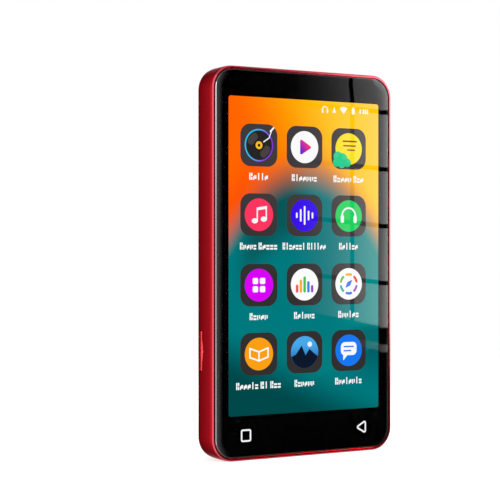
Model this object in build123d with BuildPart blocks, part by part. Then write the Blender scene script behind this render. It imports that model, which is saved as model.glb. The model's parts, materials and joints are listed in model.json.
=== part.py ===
"""Pocket digital audio player: a metal band with a glass front, a touch screen, a moulded back and side keys.

Frame in mm: X to the player's right as its screen is faced, Y from the screen (-Y) to the back (+Y), Z up.
The origin is the middle of the lower edge, on which the player stands.
"""
import os

from build123d import *

os.makedirs("parts", exist_ok=True)

# Case
WIDTH, HEIGHT, CORNER = 59.6, 109.6, 6.5
BAND_FRONT, BAND_BACK = -4.85, 4.05
BAND_WALL, BAND_CHAMFER = 1.5, 0.37
CROWN_RUN, CROWN_DROP = 1.6, 0.1  # each side falls away by the drop over this run, beside a flat middle
GLASS_PROUD, GLASS_INSET, GLASS_EDGE = 0.4, 0.85, 0.45
LEDGE_Y = -4.25
COVER_TOP, COVER_INSET, COVER_EDGE = 5.25, 0.85, 3.0
COVER_WALL, COVER_LIP, LIP_WALL = 0.9, 0.8, 0.7
COVER_HOLLOW_W, COVER_HOLLOW_H = 53.0, 103.0
FIT_GAP = 0.1
MID_Z = HEIGHT / 2
INNER_X = WIDTH / 2 - BAND_WALL

# Screen: a 4.0 inch display of 16:9
SCREEN_Z, SCREEN_W, SCREEN_H, SCREEN_MARGIN = 56.84, 49.81, 88.55, 0.4
KEYS_Z, KEYS_X = 7.1, 19.4

# Side keys (right) and card slot (left)
KEY_Y, KEY_W, KEY_GAP, KEY_PROUD = -0.8, 2.7, 0.2, 0.3
VOLUME_Z, VOLUME_L = 82.2, 22.2
POWER_Z, POWER_L = 61.0, 8.0
FLANGE_X0, FLANGE_X1, FLANGE_LIP = 27.5, 28.0, 0.6
SWITCH_OFFSET = 8.0  # each volume switch from the rocker's middle
SWITCH_X0, SWITCH_X1, SWITCH_W, SWITCH_L = 24.95, 26.8, 1.7, 3.4
PLUNGER_X0, PLUNGER_X1, PLUNGER_R, PLUNGER_HOLE = 26.45, 27.46, 0.55, 26.1
KEY_EDGE = 0.35
PIVOT_X, PIVOT_R, PIVOT_HALF = 27.18, 0.35, 0.6  # round heel on which the volume rocker turns
CARD_Z, CARD_L, CARD_W, CARD_T, CARD_Y, CARD_OUT = 30.4, 15.0, 11.0, 0.75, 1.85, -28.2
SLOT_Y0, SLOT_Y1, SLOT_HALF = 1.35, 2.95, 5.8
SCOOP_Y0, SCOOP_HALF, SCOOP_DEPTH = 0.75, 6.1, 0.8

# Bottom edge
PORT_Y = 0.9
JACK_X, JACK_BORE, JACK_NOSE, JACK_MOUTH = -17.0, 1.8, 2.2, 2.3
JACK_Z0, JACK_Z1, JACK_DEPTH, JACK_W, JACK_T = 0.2, 15.4, 14.0, 5.6, 4.4
USB_W, USB_H, USB_Z0, USB_Z1, USB_SKIN = 8.94, 3.2, 0.25, 7.6, 0.3
MIC_X, MIC_R = -8.5, 0.5
SPEAKER_X, SPEAKER_HOLES, SPEAKER_PITCH, SPEAKER_R = 16.4, 6, 2.2, 0.6

# Board and battery
BOARD_Y0, BOARD_T = 0.3, 0.8
BOARD_Y1 = BOARD_Y0 + BOARD_T
BATTERY_X, BATTERY_Z, BATTERY_W, BATTERY_H = 6.5, 53.0, 34.0, 58.0
BATTERY_Y0, BATTERY_Y1 = -0.75, 3.05
SCREWS = ((-24.5, 19.0), (4.5, 19.0), (-24.5, 80.0), (-24.5, 102.0), (18.5, 100.0))
SCREW_HEAD, SCREW_SHANK, SCREW_HOLE, BOSS_R = 1.2, 0.6, 0.7, 1.5

# Layers behind the glass, front to back
GLASS_BACK, MASK_BACK, SENSOR_BACK = -4.45, -4.4, -4.1
MASK_W, MASK_H, GLUE_WALL, SENSOR_W, SENSOR_H = 57.7, 107.7, 1.25, 54.4, 104.2
LCD_Y0, LCD_T, DIFFUSER_T, GUIDE_T, TRAY_T = -3.85, 1.0, 0.2, 0.5, 0.2
LCD_W, LCD_Z0, LCD_Z1, LIGHT_Z0, LIGHT_RIM = 52.6, 9.6, 103.5, 11.4, 0.6
PLATE_Y0, PLATE_Y1, RIM_Y0, RIM_W, RIM_H, RIM_WALL = -1.6, -0.9, -4.2, 56.4, 106.4, 0.9


def slab(y0, y1, x, z, w, h, r=0.0, mode=Mode.ADD):
    """Plate w by h round (x, z) from depth y0 back to y1, its corners rounded by r."""
    with BuildSketch(Plane.XZ.offset(-y0)) as outline:
        with Locations((x, z)):
            if r:
                RectangleRounded(w, h, r)
            else:
                Rectangle(w, h)
    extrude(outline.sketch, amount=y0 - y1, mode=mode)


def ring(y0, y1, x, z, w, h, r, wall):
    """Frame of constant wall with a rounded outline w by h, from depth y0 back to y1."""
    with BuildSketch(Plane.XZ.offset(-y0)) as outline:
        with Locations((x, z)):
            RectangleRounded(w, h, r)
            RectangleRounded(w - 2 * wall, h - 2 * wall, max(r - wall, 0.3), mode=Mode.SUBTRACT)
    extrude(outline.sketch, amount=y0 - y1)


def disc(y0, y1, x, z, r, mode=Mode.ADD):
    """Cylinder of radius r along Y from depth y0 back to y1."""
    with BuildSketch(Plane.XZ.offset(-y0)) as outline:
        with Locations((x, z)):
            Circle(r)
    extrude(outline.sketch, amount=y0 - y1, mode=mode)


def side_pill(x0, x1, y, z, w, length, mode=Mode.ADD):
    """Round-ended bar along Z, w across Y, from x0 out to x1."""
    with BuildSketch(Plane.YZ.offset(x0)) as outline:
        with Locations((y, z)):
            RectangleRounded(w, length, w / 2 - 0.01)
    extrude(outline.sketch, amount=x1 - x0, mode=mode)


def floor_pill(z0, z1, x, y, w, h, mode=Mode.ADD, r=None):
    """Rounded bar w along X and h along Y, from height z0 up to z1."""
    with BuildSketch(Plane.XY.offset(z0)) as outline:
        with Locations((x, y)):
            RectangleRounded(w, h, (h / 2 - 0.01) if r is None else r)
    extrude(outline.sketch, amount=z1 - z0, mode=mode)


def post(z0, z1, x, y, r, mode=Mode.ADD):
    """Cylinder of radius r along Z from z0 up to z1."""
    with BuildSketch(Plane.XY.offset(z0)) as outline:
        with Locations((x, y)):
            Circle(r)
    extrude(outline.sketch, amount=z1 - z0, mode=mode)


def block(x0, x1, y0, y1, z0, z1, mode=Mode.ADD):
    """Box between two corners."""
    with Locations(((x0 + x1) / 2, (y0 + y1) / 2, (z0 + z1) / 2)):
        Box(x1 - x0, y1 - y0, z1 - z0, mode=mode)


def half_section(plane, reach, start):
    """Half of the band's cross-section, out to `reach`, with a crowned side and two chamfers."""
    edge = reach - CROWN_DROP
    near, far = BAND_FRONT + BAND_CHAMFER, BAND_BACK - BAND_CHAMFER
    bow = CROWN_DROP * 0.75  # an arc that leaves the flat tangentially has dropped a quarter at half its run
    with BuildSketch(plane) as outline:
        with BuildLine():
            Line((start, BAND_FRONT), (edge - BAND_CHAMFER, BAND_FRONT))
            Line((edge - BAND_CHAMFER, BAND_FRONT), (edge, near))
            ThreePointArc((edge, near), (edge + bow, near + CROWN_RUN / 2), (reach, near + CROWN_RUN))
            Line((reach, near + CROWN_RUN), (reach, far - CROWN_RUN))
            ThreePointArc((reach, far - CROWN_RUN), (edge + bow, far - CROWN_RUN / 2), (edge, far))
            Line((edge, far), (edge - BAND_CHAMFER, BAND_BACK))
            Line((edge - BAND_CHAMFER, BAND_BACK), (start, BAND_BACK))
            Line((start, BAND_BACK), (start, BAND_FRONT))
        make_face()
    return outline.sketch


def speaker_hole_x(i):
    """X of speaker hole i, spread evenly about the speaker."""
    return SPEAKER_X + (i - (SPEAKER_HOLES - 1) / 2) * SPEAKER_PITCH


# ---------------------------------------------------------------- case
with BuildPart() as frame_band:
    across, up = WIDTH / 2 - CORNER, MID_Z - CORNER
    extrude(half_section(Plane.XY.offset(CORNER), WIDTH / 2, 0.0), amount=2 * up)
    mirror(about=Plane.YZ)
    top = Plane(origin=(-across, 0, MID_Z), x_dir=(0, 0, 1), z_dir=(-1, 0, 0))
    extrude(half_section(top, MID_Z, 0.0), amount=-2 * across)
    mirror(about=Plane.XY.offset(MID_Z))
    for cx in (-across, across):
        for cz in (CORNER, HEIGHT - CORNER):
            corner = Plane(origin=(cx, 0, cz), x_dir=(1, 0, 0), z_dir=(0, 0, 1))
            revolve(half_section(corner, CORNER, 0.0), axis=Axis((cx, 0, cz), (0, 1, 0)))
    pocket = 2 * (GLASS_INSET - FIT_GAP)
    slab(BAND_FRONT, LEDGE_Y, 0, MID_Z, WIDTH - pocket, HEIGHT - pocket, CORNER - pocket / 2, Mode.SUBTRACT)
    slab(BAND_FRONT, BAND_BACK, 0, MID_Z, 2 * INNER_X, HEIGHT - 2 * BAND_WALL, CORNER - BAND_WALL,
         Mode.SUBTRACT)
    for z, length in ((VOLUME_Z, VOLUME_L), (POWER_Z, POWER_L)):
        side_pill(INNER_X - 1, WIDTH, KEY_Y, z, KEY_W + 2 * KEY_GAP, length + 2 * KEY_GAP, Mode.SUBTRACT)
    # card slot: a straight back edge, and a finger scoop bowed forwards of it
    block(-WIDTH, 1 - INNER_X, SLOT_Y0, SLOT_Y1, CARD_Z - SLOT_HALF, CARD_Z + SLOT_HALF, Mode.SUBTRACT)
    with BuildSketch(Plane.YZ.offset(-WIDTH / 2 - 1)) as scoop:
        with BuildLine():
            Line((SLOT_Y1, CARD_Z + SCOOP_HALF), (SLOT_Y1, CARD_Z - SCOOP_HALF))
            ThreePointArc((SLOT_Y1, CARD_Z - SCOOP_HALF), (SCOOP_Y0, CARD_Z), (SLOT_Y1, CARD_Z + SCOOP_HALF))
        make_face()
    extrude(scoop.sketch, amount=1 + SCOOP_DEPTH, mode=Mode.SUBTRACT)
    post(-1, BAND_WALL + 1, JACK_X, PORT_Y, JACK_MOUTH, Mode.SUBTRACT)
    floor_pill(-1, BAND_WALL + 1, 0, PORT_Y, USB_W + 2 * FIT_GAP, USB_H + 2 * FIT_GAP, Mode.SUBTRACT)
    post(-1, BAND_WALL + 1, MIC_X, PORT_Y, MIC_R, Mode.SUBTRACT)
    for i in range(SPEAKER_HOLES):
        post(-1, BAND_WALL + 1, speaker_hole_x(i), PORT_Y, SPEAKER_R, Mode.SUBTRACT)
frame_band.part.label = "frame_band"
export_step(frame_band.part, "parts/frame_band.step")

with BuildPart() as back_cover:
    # the outline is drawn full-size below the seam, so that the rounded edge meets the seam at a slope
    fall = COVER_TOP - COVER_EDGE
    rise = COVER_EDGE - (COVER_EDGE**2 - (BAND_BACK - fall) ** 2) ** 0.5
    slab(fall - 0.3, COVER_TOP, 0, MID_Z, WIDTH - 2 * (COVER_INSET - rise), HEIGHT - 2 * (COVER_INSET - rise),
         CORNER - COVER_INSET + rise)
    fillet(back_cover.faces().sort_by(Axis.Y)[-1].edges(), COVER_EDGE - 0.01)
    block(-WIDTH, WIDTH, -COVER_TOP, BAND_BACK, -1, HEIGHT + 1, Mode.SUBTRACT)
    slab(BAND_BACK, COVER_TOP - COVER_WALL, 0, MID_Z, COVER_HOLLOW_W, COVER_HOLLOW_H, CORNER - 3.4, Mode.SUBTRACT)
    with BuildSketch(Plane.XZ.offset(-BAND_BACK)) as lip:
        with Locations((0, MID_Z)):
            lip_w, lip_h = 2 * (INNER_X - FIT_GAP), HEIGHT - 2 * (BAND_WALL + FIT_GAP)
            RectangleRounded(lip_w, lip_h, CORNER - BAND_WALL - FIT_GAP)
            RectangleRounded(lip_w - 2 * LIP_WALL, lip_h - 2 * LIP_WALL, CORNER - BAND_WALL - LIP_WALL,
                             mode=Mode.SUBTRACT)
    extrude(lip.sketch, amount=COVER_LIP)
back_cover.part.label = "back_cover"
export_step(back_cover.part, "parts/back_cover.step")

with BuildPart() as cover_glass:
    slab(BAND_FRONT - GLASS_PROUD, GLASS_BACK, 0, MID_Z, WIDTH - 2 * GLASS_INSET, HEIGHT - 2 * GLASS_INSET,
         CORNER - GLASS_INSET)
    fillet(cover_glass.faces().sort_by(Axis.Y)[0].edges(), GLASS_EDGE)
cover_glass.part.label = "cover_glass"
export_step(cover_glass.part, "parts/cover_glass.step")

with BuildPart() as border_mask:
    slab(GLASS_BACK, MASK_BACK, 0, MID_Z, MASK_W, MASK_H, CORNER - 1)
    slab(GLASS_BACK, MASK_BACK, 0, SCREEN_Z, SCREEN_W + 2 * SCREEN_MARGIN, SCREEN_H + 2 * SCREEN_MARGIN, 1.2,
         Mode.SUBTRACT)
border_mask.part.label = "border_mask"
export_step(border_mask.part, "parts/border_mask.step")

with BuildPart() as glass_adhesive:
    ring(MASK_BACK, LEDGE_Y, 0, MID_Z, MASK_W, MASK_H, CORNER - 1, GLUE_WALL)
glass_adhesive.part.label = "glass_adhesive"
export_step(glass_adhesive.part, "parts/glass_adhesive.step")

# ---------------------------------------------------------------- screen
with BuildPart() as touch_sensor:
    slab(MASK_BACK, SENSOR_BACK, 0, MID_Z, SENSOR_W, SENSOR_H, 3.5)
touch_sensor.part.label = "touch_sensor"
export_step(touch_sensor.part, "parts/touch_sensor.step")

with BuildPart() as touch_flex:
    block(-13.4, -10.6, SENSOR_BACK, BOARD_Y0 - 0.3, 3.1, 3.25)
    block(-13.4, -10.6, BOARD_Y0 - 0.45, BOARD_Y0 - 0.3, 3.25, 6.0)
touch_flex.part.label = "touch_flex"
export_step(touch_flex.part, "parts/touch_flex.step")

with BuildPart() as key_light_guide:
    block(-25, 25, -4.05, -3.25, 3.9, 6.6)
    for sign in (-1, 1):
        block(sign * KEYS_X - 4, sign * KEYS_X + 4, -4.05, -3.25, 6.6, 9.3)
key_light_guide.part.label = "key_light_guide"
export_step(key_light_guide.part, "parts/key_light_guide.step")

with BuildPart() as key_leds:
    for sign in (-1, 1):
        block(sign * KEYS_X - 0.8, sign * KEYS_X + 0.8, -3.25, PLATE_Y0, 4.9, 5.7)
key_leds.part.label = "key_leds"
export_step(key_leds.part, "parts/key_leds.step")

lcd_back = LCD_Y0 + LCD_T
lcd_z, lcd_h = (LCD_Z0 + LCD_Z1) / 2, LCD_Z1 - LCD_Z0
light_z, light_h = (LIGHT_Z0 + LCD_Z1) / 2, LCD_Z1 - LIGHT_Z0
guide_back = lcd_back + DIFFUSER_T + GUIDE_T
sheet_w, sheet_h = LCD_W - 2 * LIGHT_RIM - 0.1, light_h - 2 * LIGHT_RIM - 0.1
with BuildPart() as lcd_panel:
    slab(LCD_Y0, lcd_back, 0, lcd_z, LCD_W, lcd_h, 0.6)
lcd_panel.part.label = "lcd_panel"
export_step(lcd_panel.part, "parts/lcd_panel.step")

with BuildPart() as lcd_driver_chip:
    block(-8, 8, lcd_back, lcd_back + 0.3, 10.2, 11.2)
lcd_driver_chip.part.label = "lcd_driver_chip"
export_step(lcd_driver_chip.part, "parts/lcd_driver_chip.step")

with BuildPart() as diffuser_sheet:
    slab(lcd_back, lcd_back + DIFFUSER_T, 0, light_z, sheet_w, sheet_h, 0.4)
diffuser_sheet.part.label = "diffuser_sheet"
export_step(diffuser_sheet.part, "parts/diffuser_sheet.step")

with BuildPart() as light_guide_plate:
    slab(lcd_back + DIFFUSER_T, guide_back, 0, light_z, sheet_w, sheet_h, 0.4)
light_guide_plate.part.label = "light_guide_plate"
export_step(light_guide_plate.part, "parts/light_guide_plate.step")

with BuildPart() as backlight_frame:
    ring(lcd_back, guide_back, 0, light_z, LCD_W, light_h, 0.6, LIGHT_RIM)
backlight_frame.part.label = "backlight_frame"
export_step(backlight_frame.part, "parts/backlight_frame.step")

with BuildPart() as backlight_tray:
    slab(guide_back, guide_back + TRAY_T, 0, light_z, LCD_W, light_h, 0.6)
backlight_tray.part.label = "backlight_tray"
export_step(backlight_tray.part, "parts/backlight_tray.step")

with BuildPart() as display_foam:
    ring(guide_back + TRAY_T, PLATE_Y0, 0, MID_Z, 46, 80, 2, 3)
display_foam.part.label = "display_foam"
export_step(display_foam.part, "parts/display_foam.step")

with BuildPart() as display_flex:
    block(-8, 8, lcd_back, lcd_back + 0.13, 8.6, 10.1)
    block(-8, 8, lcd_back, BOARD_Y0 - 0.4, 8.6, 8.75)
    block(-8, 8, BOARD_Y0 - 0.55, BOARD_Y0 - 0.4, 8.6, 12.2)
display_flex.part.label = "display_flex"
export_step(display_flex.part, "parts/display_flex.step")

# ---------------------------------------------------------------- inner frame and board
with BuildPart() as inner_frame:
    slab(RIM_Y0, PLATE_Y1, 0, MID_Z, RIM_W, RIM_H, 4.9)
    slab(RIM_Y0, PLATE_Y0, 0, MID_Z, RIM_W - 2 * RIM_WALL, RIM_H - 2 * RIM_WALL, 4.0, Mode.SUBTRACT)
    block(24.0, WIDTH, -3.0, BOARD_Y0, 52, 98, Mode.SUBTRACT)
    for x, z in SCREWS:
        disc(PLATE_Y1, BOARD_Y0, x, z, BOSS_R)
        disc(PLATE_Y0 - 0.1, BOARD_Y0 + 0.1, x, z, SCREW_SHANK + 0.02, Mode.SUBTRACT)
    block(JACK_X - 3.1, JACK_X + 3.1, PLATE_Y0, PLATE_Y1, 1, JACK_Z1 + 0.3, Mode.SUBTRACT)
    block(-8.3, 8.3, PLATE_Y0, PLATE_Y1, 8.4, 8.95, Mode.SUBTRACT)
    block(-13.6, -10.4, PLATE_Y0, PLATE_Y1, 2.9, 3.45, Mode.SUBTRACT)
    block(-5.6, 5.6, PLATE_Y0, PLATE_Y1, 1, 2.8, Mode.SUBTRACT)
inner_frame.part.label = "inner_frame"
export_step(inner_frame.part, "parts/inner_frame.step")

with BuildPart() as main_board:
    slab(BOARD_Y0, BOARD_Y1, 0, MID_Z, 56.2, 106.0, 4.8)
    for x0, x1, z0, z1 in (
        (BATTERY_X - BATTERY_W / 2 - 0.5, WIDTH, 22, 84),
        (8, WIDTH, 0, 22),
        (22, WIDTH, 84, HEIGHT),
        (JACK_X - 3.1, JACK_X + 3.1, 0, JACK_Z1 + 0.3),
        (-5.4, 5.4, 0, USB_Z1 + 0.3),
        (MIC_X - 2, MIC_X + 2, 0, 5.9),
    ):
        block(x0, x1, BOARD_Y0, BOARD_Y1, z0, z1, Mode.SUBTRACT)
    for x, z in SCREWS:
        disc(BOARD_Y0, BOARD_Y1, x, z, SCREW_HOLE, Mode.SUBTRACT)
main_board.part.label = "main_board"
export_step(main_board.part, "parts/main_board.step")

with BuildPart() as board_screws:
    for x, z in SCREWS:
        disc(BOARD_Y1, BOARD_Y1 + 0.5, x, z, SCREW_HEAD)
        disc(PLATE_Y1, BOARD_Y1, x, z, SCREW_SHANK)
board_screws.part.label = "board_screws"
export_step(board_screws.part, "parts/board_screws.step")

with BuildPart() as shield_lids:
    for x, z, w, h in ((-19.5, 54.5, 14.0, 25.0), (-10.0, 95.0, 20.0, 14.0)):
        slab(BOARD_Y1, BOARD_Y1 + 1.2, x, z, w, h, 0.6)
        slab(BOARD_Y1, BOARD_Y1 + 1.0, x, z, w - 0.4, h - 0.4, 0.4, Mode.SUBTRACT)
shield_lids.part.label = "shield_lids"
export_step(shield_lids.part, "parts/shield_lids.step")

with BuildPart() as processor_chip:
    slab(BOARD_Y1, BOARD_Y1 + 0.8, -19.5, 60.0, 10, 10)
processor_chip.part.label = "processor_chip"
export_step(processor_chip.part, "parts/processor_chip.step")

with BuildPart() as memory_chip:
    slab(BOARD_Y1, BOARD_Y1 + 0.8, -19.5, 48.5, 11.5, 9)
memory_chip.part.label = "memory_chip"
export_step(memory_chip.part, "parts/memory_chip.step")

with BuildPart() as power_chip:
    slab(BOARD_Y1, BOARD_Y1 + 0.8, -15.0, 95.0, 6, 6)
power_chip.part.label = "power_chip"
export_step(power_chip.part, "parts/power_chip.step")

with BuildPart() as audio_chip:
    slab(BOARD_Y1, BOARD_Y1 + 0.8, -6.0, 95.0, 5, 5)
audio_chip.part.label = "audio_chip"
export_step(audio_chip.part, "parts/audio_chip.step")

with BuildPart() as board_components:
    for row, z in enumerate((70.0, 72.5, 75.0, 40.5)):
        for i in range(6):
            slab(BOARD_Y1, BOARD_Y1 + 0.5, -21.5 + 1.8 * i, z, 0.6, 1.1)
    for i in range(5):
        slab(BOARD_Y1, BOARD_Y1 + 0.9, 4.5 + 3.2 * i, 92.0, 2.0, 2.0)
board_components.part.label = "board_components"
export_step(board_components.part, "parts/board_components.step")

with BuildPart() as board_connectors:
    block(-6, 6, BOARD_Y0 - 0.4, BOARD_Y0, 10.0, 12.2)
    block(-13.2, -10.8, BOARD_Y0 - 0.3, BOARD_Y0, 3.6, 5.8)
board_connectors.part.label = "board_connectors"
export_step(board_connectors.part, "parts/board_connectors.step")

# ---------------------------------------------------------------- ports, speaker and microphone
with BuildPart() as usb_shell:
    floor_pill(USB_Z0, USB_Z1, 0, PORT_Y, USB_W, USB_H)
    floor_pill(USB_Z0, USB_Z1, 0, PORT_Y, USB_W - 2 * USB_SKIN, USB_H - 2 * USB_SKIN, Mode.SUBTRACT)
    for sign in (-1, 1):
        inner, outer = sorted((sign * (USB_W - USB_SKIN) / 2, sign * 6.2))
        block(inner, outer, BOARD_Y1, BOARD_Y1 + 0.3, 3.5, 6.5)
usb_shell.part.label = "usb_shell"
export_step(usb_shell.part, "parts/usb_shell.step")

with BuildPart() as usb_tongue:
    floor_pill(6.2, USB_Z1, 0, PORT_Y, USB_W - 2 * USB_SKIN - 0.04, USB_H - 2 * USB_SKIN - 0.04)
    block(-3.35, 3.35, PORT_Y - 0.35, PORT_Y + 0.35, 1.0, 6.2)
usb_tongue.part.label = "usb_tongue"
export_step(usb_tongue.part, "parts/usb_tongue.step")

with BuildPart() as usb_gasket:
    floor_pill(BAND_WALL + 0.05, BAND_WALL + 0.7, 0, PORT_Y, USB_W + 1.4, USB_H + 1.2)
    floor_pill(BAND_WALL + 0.05, BAND_WALL + 0.7, 0, PORT_Y, USB_W + 0.04, USB_H + 0.04, Mode.SUBTRACT)
usb_gasket.part.label = "usb_gasket"
export_step(usb_gasket.part, "parts/usb_gasket.step")

with BuildPart() as jack_body:
    block(JACK_X - JACK_W / 2, JACK_X + JACK_W / 2, PORT_Y - JACK_T / 2, PORT_Y + JACK_T / 2,
          BAND_WALL + FIT_GAP, JACK_Z1)
    post(JACK_Z0, BAND_WALL + FIT_GAP, JACK_X, PORT_Y, JACK_NOSE)
    post(JACK_Z0, JACK_Z0 + JACK_DEPTH, JACK_X, PORT_Y, JACK_BORE, Mode.SUBTRACT)
jack_body.part.label = "jack_body"
export_step(jack_body.part, "parts/jack_body.step")

with BuildPart() as jack_contacts:
    for z in (4.0, 8.0, 12.0):
        block(JACK_X + JACK_W / 2, JACK_X + JACK_W / 2 + 0.2, BOARD_Y0, BOARD_Y1 + 0.4, z, z + 1)
        block(JACK_X + JACK_W / 2 + 0.2, JACK_X + JACK_W / 2 + 1.2, BOARD_Y1, BOARD_Y1 + 0.15, z, z + 1)
jack_contacts.part.label = "jack_contacts"
export_step(jack_contacts.part, "parts/jack_contacts.step")

with BuildPart() as speaker_body:
    block(SPEAKER_X - 7.6, SPEAKER_X + 9.4, -0.6, 2.9, 3.0, 14.5)
    block(SPEAKER_X - 6.6, SPEAKER_X + 6.6, 0.0, 2.3, 3.0, 3.9, Mode.SUBTRACT)
speaker_body.part.label = "speaker_body"
export_step(speaker_body.part, "parts/speaker_body.step")

with BuildPart() as speaker_cone:
    floor_pill(3.4, 3.9, SPEAKER_X, 1.15, 12.6, 2.0)
speaker_cone.part.label = "speaker_cone"
export_step(speaker_cone.part, "parts/speaker_cone.step")

with BuildPart() as speaker_gasket:
    floor_pill(1.8, 3.0, SPEAKER_X, 1.1, 14.4, 3.3)
    floor_pill(1.8, 3.0, SPEAKER_X, 1.1, 12.8, 2.1, Mode.SUBTRACT)
speaker_gasket.part.label = "speaker_gasket"
export_step(speaker_gasket.part, "parts/speaker_gasket.step")

with BuildPart() as speaker_mesh:
    floor_pill(BAND_WALL, 1.8, SPEAKER_X, 1.0, 13.6, 2.6)
speaker_mesh.part.label = "speaker_mesh"
export_step(speaker_mesh.part, "parts/speaker_mesh.step")

with BuildPart() as microphone:
    block(MIC_X - 1.6, MIC_X + 1.6, 0.1, 1.6, 2.9, 5.9)
microphone.part.label = "microphone"
export_step(microphone.part, "parts/microphone.step")

with BuildPart() as microphone_boot:
    block(MIC_X - 1.8, MIC_X + 1.8, -0.3, 2.1, BAND_WALL + 0.05, 2.9)
    post(BAND_WALL, 2.9, MIC_X, PORT_Y, MIC_R, Mode.SUBTRACT)
microphone_boot.part.label = "microphone_boot"
export_step(microphone_boot.part, "parts/microphone_boot.step")

# ---------------------------------------------------------------- memory card and its socket
card_x0, card_x1 = CARD_OUT, CARD_OUT + CARD_L
socket_x0, socket_x1 = -27.9, card_x1 + 0.4
card_y0, card_y1 = CARD_Y - CARD_T / 2, CARD_Y + CARD_T / 2
with BuildPart() as card_socket_base:
    block(socket_x0, socket_x1, BOARD_Y1, BOARD_Y1 + 0.25, CARD_Z - 6.6, CARD_Z + 6.6)
    for sign in (-1, 1):
        low, high = sorted((CARD_Z + sign * 5.75, CARD_Z + sign * 6.1))
        block(socket_x0, socket_x1, BOARD_Y1 + 0.25, card_y1 + 0.15, low, high)
    block(socket_x1 - 0.35, socket_x1, BOARD_Y1 + 0.25, card_y1 + 0.15, CARD_Z - 5.8, CARD_Z + 5.8)
card_socket_base.part.label = "card_socket_base"
export_step(card_socket_base.part, "parts/card_socket_base.step")

with BuildPart() as card_socket_shell:
    block(socket_x0, socket_x1, card_y1 + 0.17, card_y1 + 0.32, CARD_Z - 6.35, CARD_Z + 6.35)
    for sign in (-1, 1):
        low, high = sorted((CARD_Z + sign * 6.15, CARD_Z + sign * 6.35))
        block(socket_x0, socket_x1, BOARD_Y1 + 0.25, card_y1 + 0.32, low, high)
card_socket_shell.part.label = "card_socket_shell"
export_step(card_socket_shell.part, "parts/card_socket_shell.step")

with BuildPart() as card_contacts:
    for i in range(8):
        z = CARD_Z + (i - 3.5) * 1.1
        block(-19.5, -15.0, BOARD_Y1 + 0.25, card_y0 - 0.03, z - 0.3, z + 0.3)
card_contacts.part.label = "card_contacts"
export_step(card_contacts.part, "parts/card_contacts.step")

with BuildPart() as memory_card:
    block(card_x0, card_x1, card_y0, card_y1, CARD_Z - CARD_W / 2, CARD_Z + CARD_W / 2)
    fillet(memory_card.edges().filter_by(Axis.Y), 0.5)
    block(card_x0 + 0.2, card_x0 + 0.9, card_y1, card_y1 + 0.1, CARD_Z - 4.5, CARD_Z + 4.5)
memory_card.part.label = "memory_card"
export_step(memory_card.part, "parts/memory_card.step")

# ---------------------------------------------------------------- battery
with BuildPart() as battery_cell:
    slab(BATTERY_Y0, BATTERY_Y1, BATTERY_X, BATTERY_Z, BATTERY_W, BATTERY_H, 1.0)
battery_cell.part.label = "battery_cell"
export_step(battery_cell.part, "parts/battery_cell.step")

with BuildPart() as battery_tape:
    slab(PLATE_Y1, BATTERY_Y0, BATTERY_X, BATTERY_Z, 26, 46, 1.0)
battery_tape.part.label = "battery_tape"
export_step(battery_tape.part, "parts/battery_tape.step")

with BuildPart() as battery_board:
    block(0, 13, 0.4, 2.4, BATTERY_Z + BATTERY_H / 2, 83.7)
battery_board.part.label = "battery_board"
export_step(battery_board.part, "parts/battery_board.step")

with BuildPart() as battery_leads:
    for z in (82.5, 83.3):
        with Locations(Location((-6.5, 1.8, z), (0, 90, 0))):
            Cylinder(0.3, 13.0)
battery_leads.part.label = "battery_leads"
export_step(battery_leads.part, "parts/battery_leads.step")

with BuildPart() as battery_plug:
    block(-16.4, -13.0, BOARD_Y1, 2.4, 81.6, 84.4)
battery_plug.part.label = "battery_plug"
export_step(battery_plug.part, "parts/battery_plug.step")

with BuildPart() as battery_foam:
    slab(BATTERY_Y1, COVER_TOP - COVER_WALL - 0.1, BATTERY_X, BATTERY_Z, 18, 36, 1.0)
battery_foam.part.label = "battery_foam"
export_step(battery_foam.part, "parts/battery_foam.step")

with BuildPart() as graphite_sheet:
    slab(COVER_TOP - COVER_WALL - 0.1, COVER_TOP - COVER_WALL, 0, 50, 48, 66, 2.0)
graphite_sheet.part.label = "graphite_sheet"
export_step(graphite_sheet.part, "parts/graphite_sheet.step")

with BuildPart() as antenna_flex:
    slab(COVER_TOP - COVER_WALL - 0.1, COVER_TOP - COVER_WALL, 10, 95, 26, 12, 1.0)
antenna_flex.part.label = "antenna_flex"
export_step(antenna_flex.part, "parts/antenna_flex.step")

# ---------------------------------------------------------------- side keys
with BuildPart() as key_bracket:
    block(24.2, 24.7, PLATE_Y0, 2.9, 54, 96)
    block(24.2, 24.7, PLATE_Y1, 2.9, 50, 100)
key_bracket.part.label = "key_bracket"
export_step(key_bracket.part, "parts/key_bracket.step")

with BuildPart() as key_flex:
    block(24.7, SWITCH_X0, PLATE_Y0, 0.6, 55, 95)
key_flex.part.label = "key_flex"
export_step(key_flex.part, "parts/key_flex.step")

with BuildPart() as key_pivot:
    block(SWITCH_X0, SWITCH_X1, KEY_Y - 0.7, KEY_Y + 0.7, VOLUME_Z - 0.8, VOLUME_Z + 0.8)
key_pivot.part.label = "key_pivot"
export_step(key_pivot.part, "parts/key_pivot.step")


def switch_body(z):
    """Push switch at height z, with a well for its plunger."""
    block(SWITCH_X0, SWITCH_X1, KEY_Y - SWITCH_W / 2, KEY_Y + SWITCH_W / 2, z - SWITCH_L / 2, z + SWITCH_L / 2)
    with BuildSketch(Plane.YZ.offset(PLUNGER_HOLE)) as well:
        with Locations((KEY_Y, z)):
            Circle(PLUNGER_R + 0.06)
    extrude(well.sketch, amount=SWITCH_X1 - PLUNGER_HOLE, mode=Mode.SUBTRACT)


def plunger(z):
    """Round plunger of the switch at height z."""
    with BuildSketch(Plane.YZ.offset(PLUNGER_X0)) as outline:
        with Locations((KEY_Y, z)):
            Circle(PLUNGER_R)
    extrude(outline.sketch, amount=PLUNGER_X1 - PLUNGER_X0)


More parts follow.
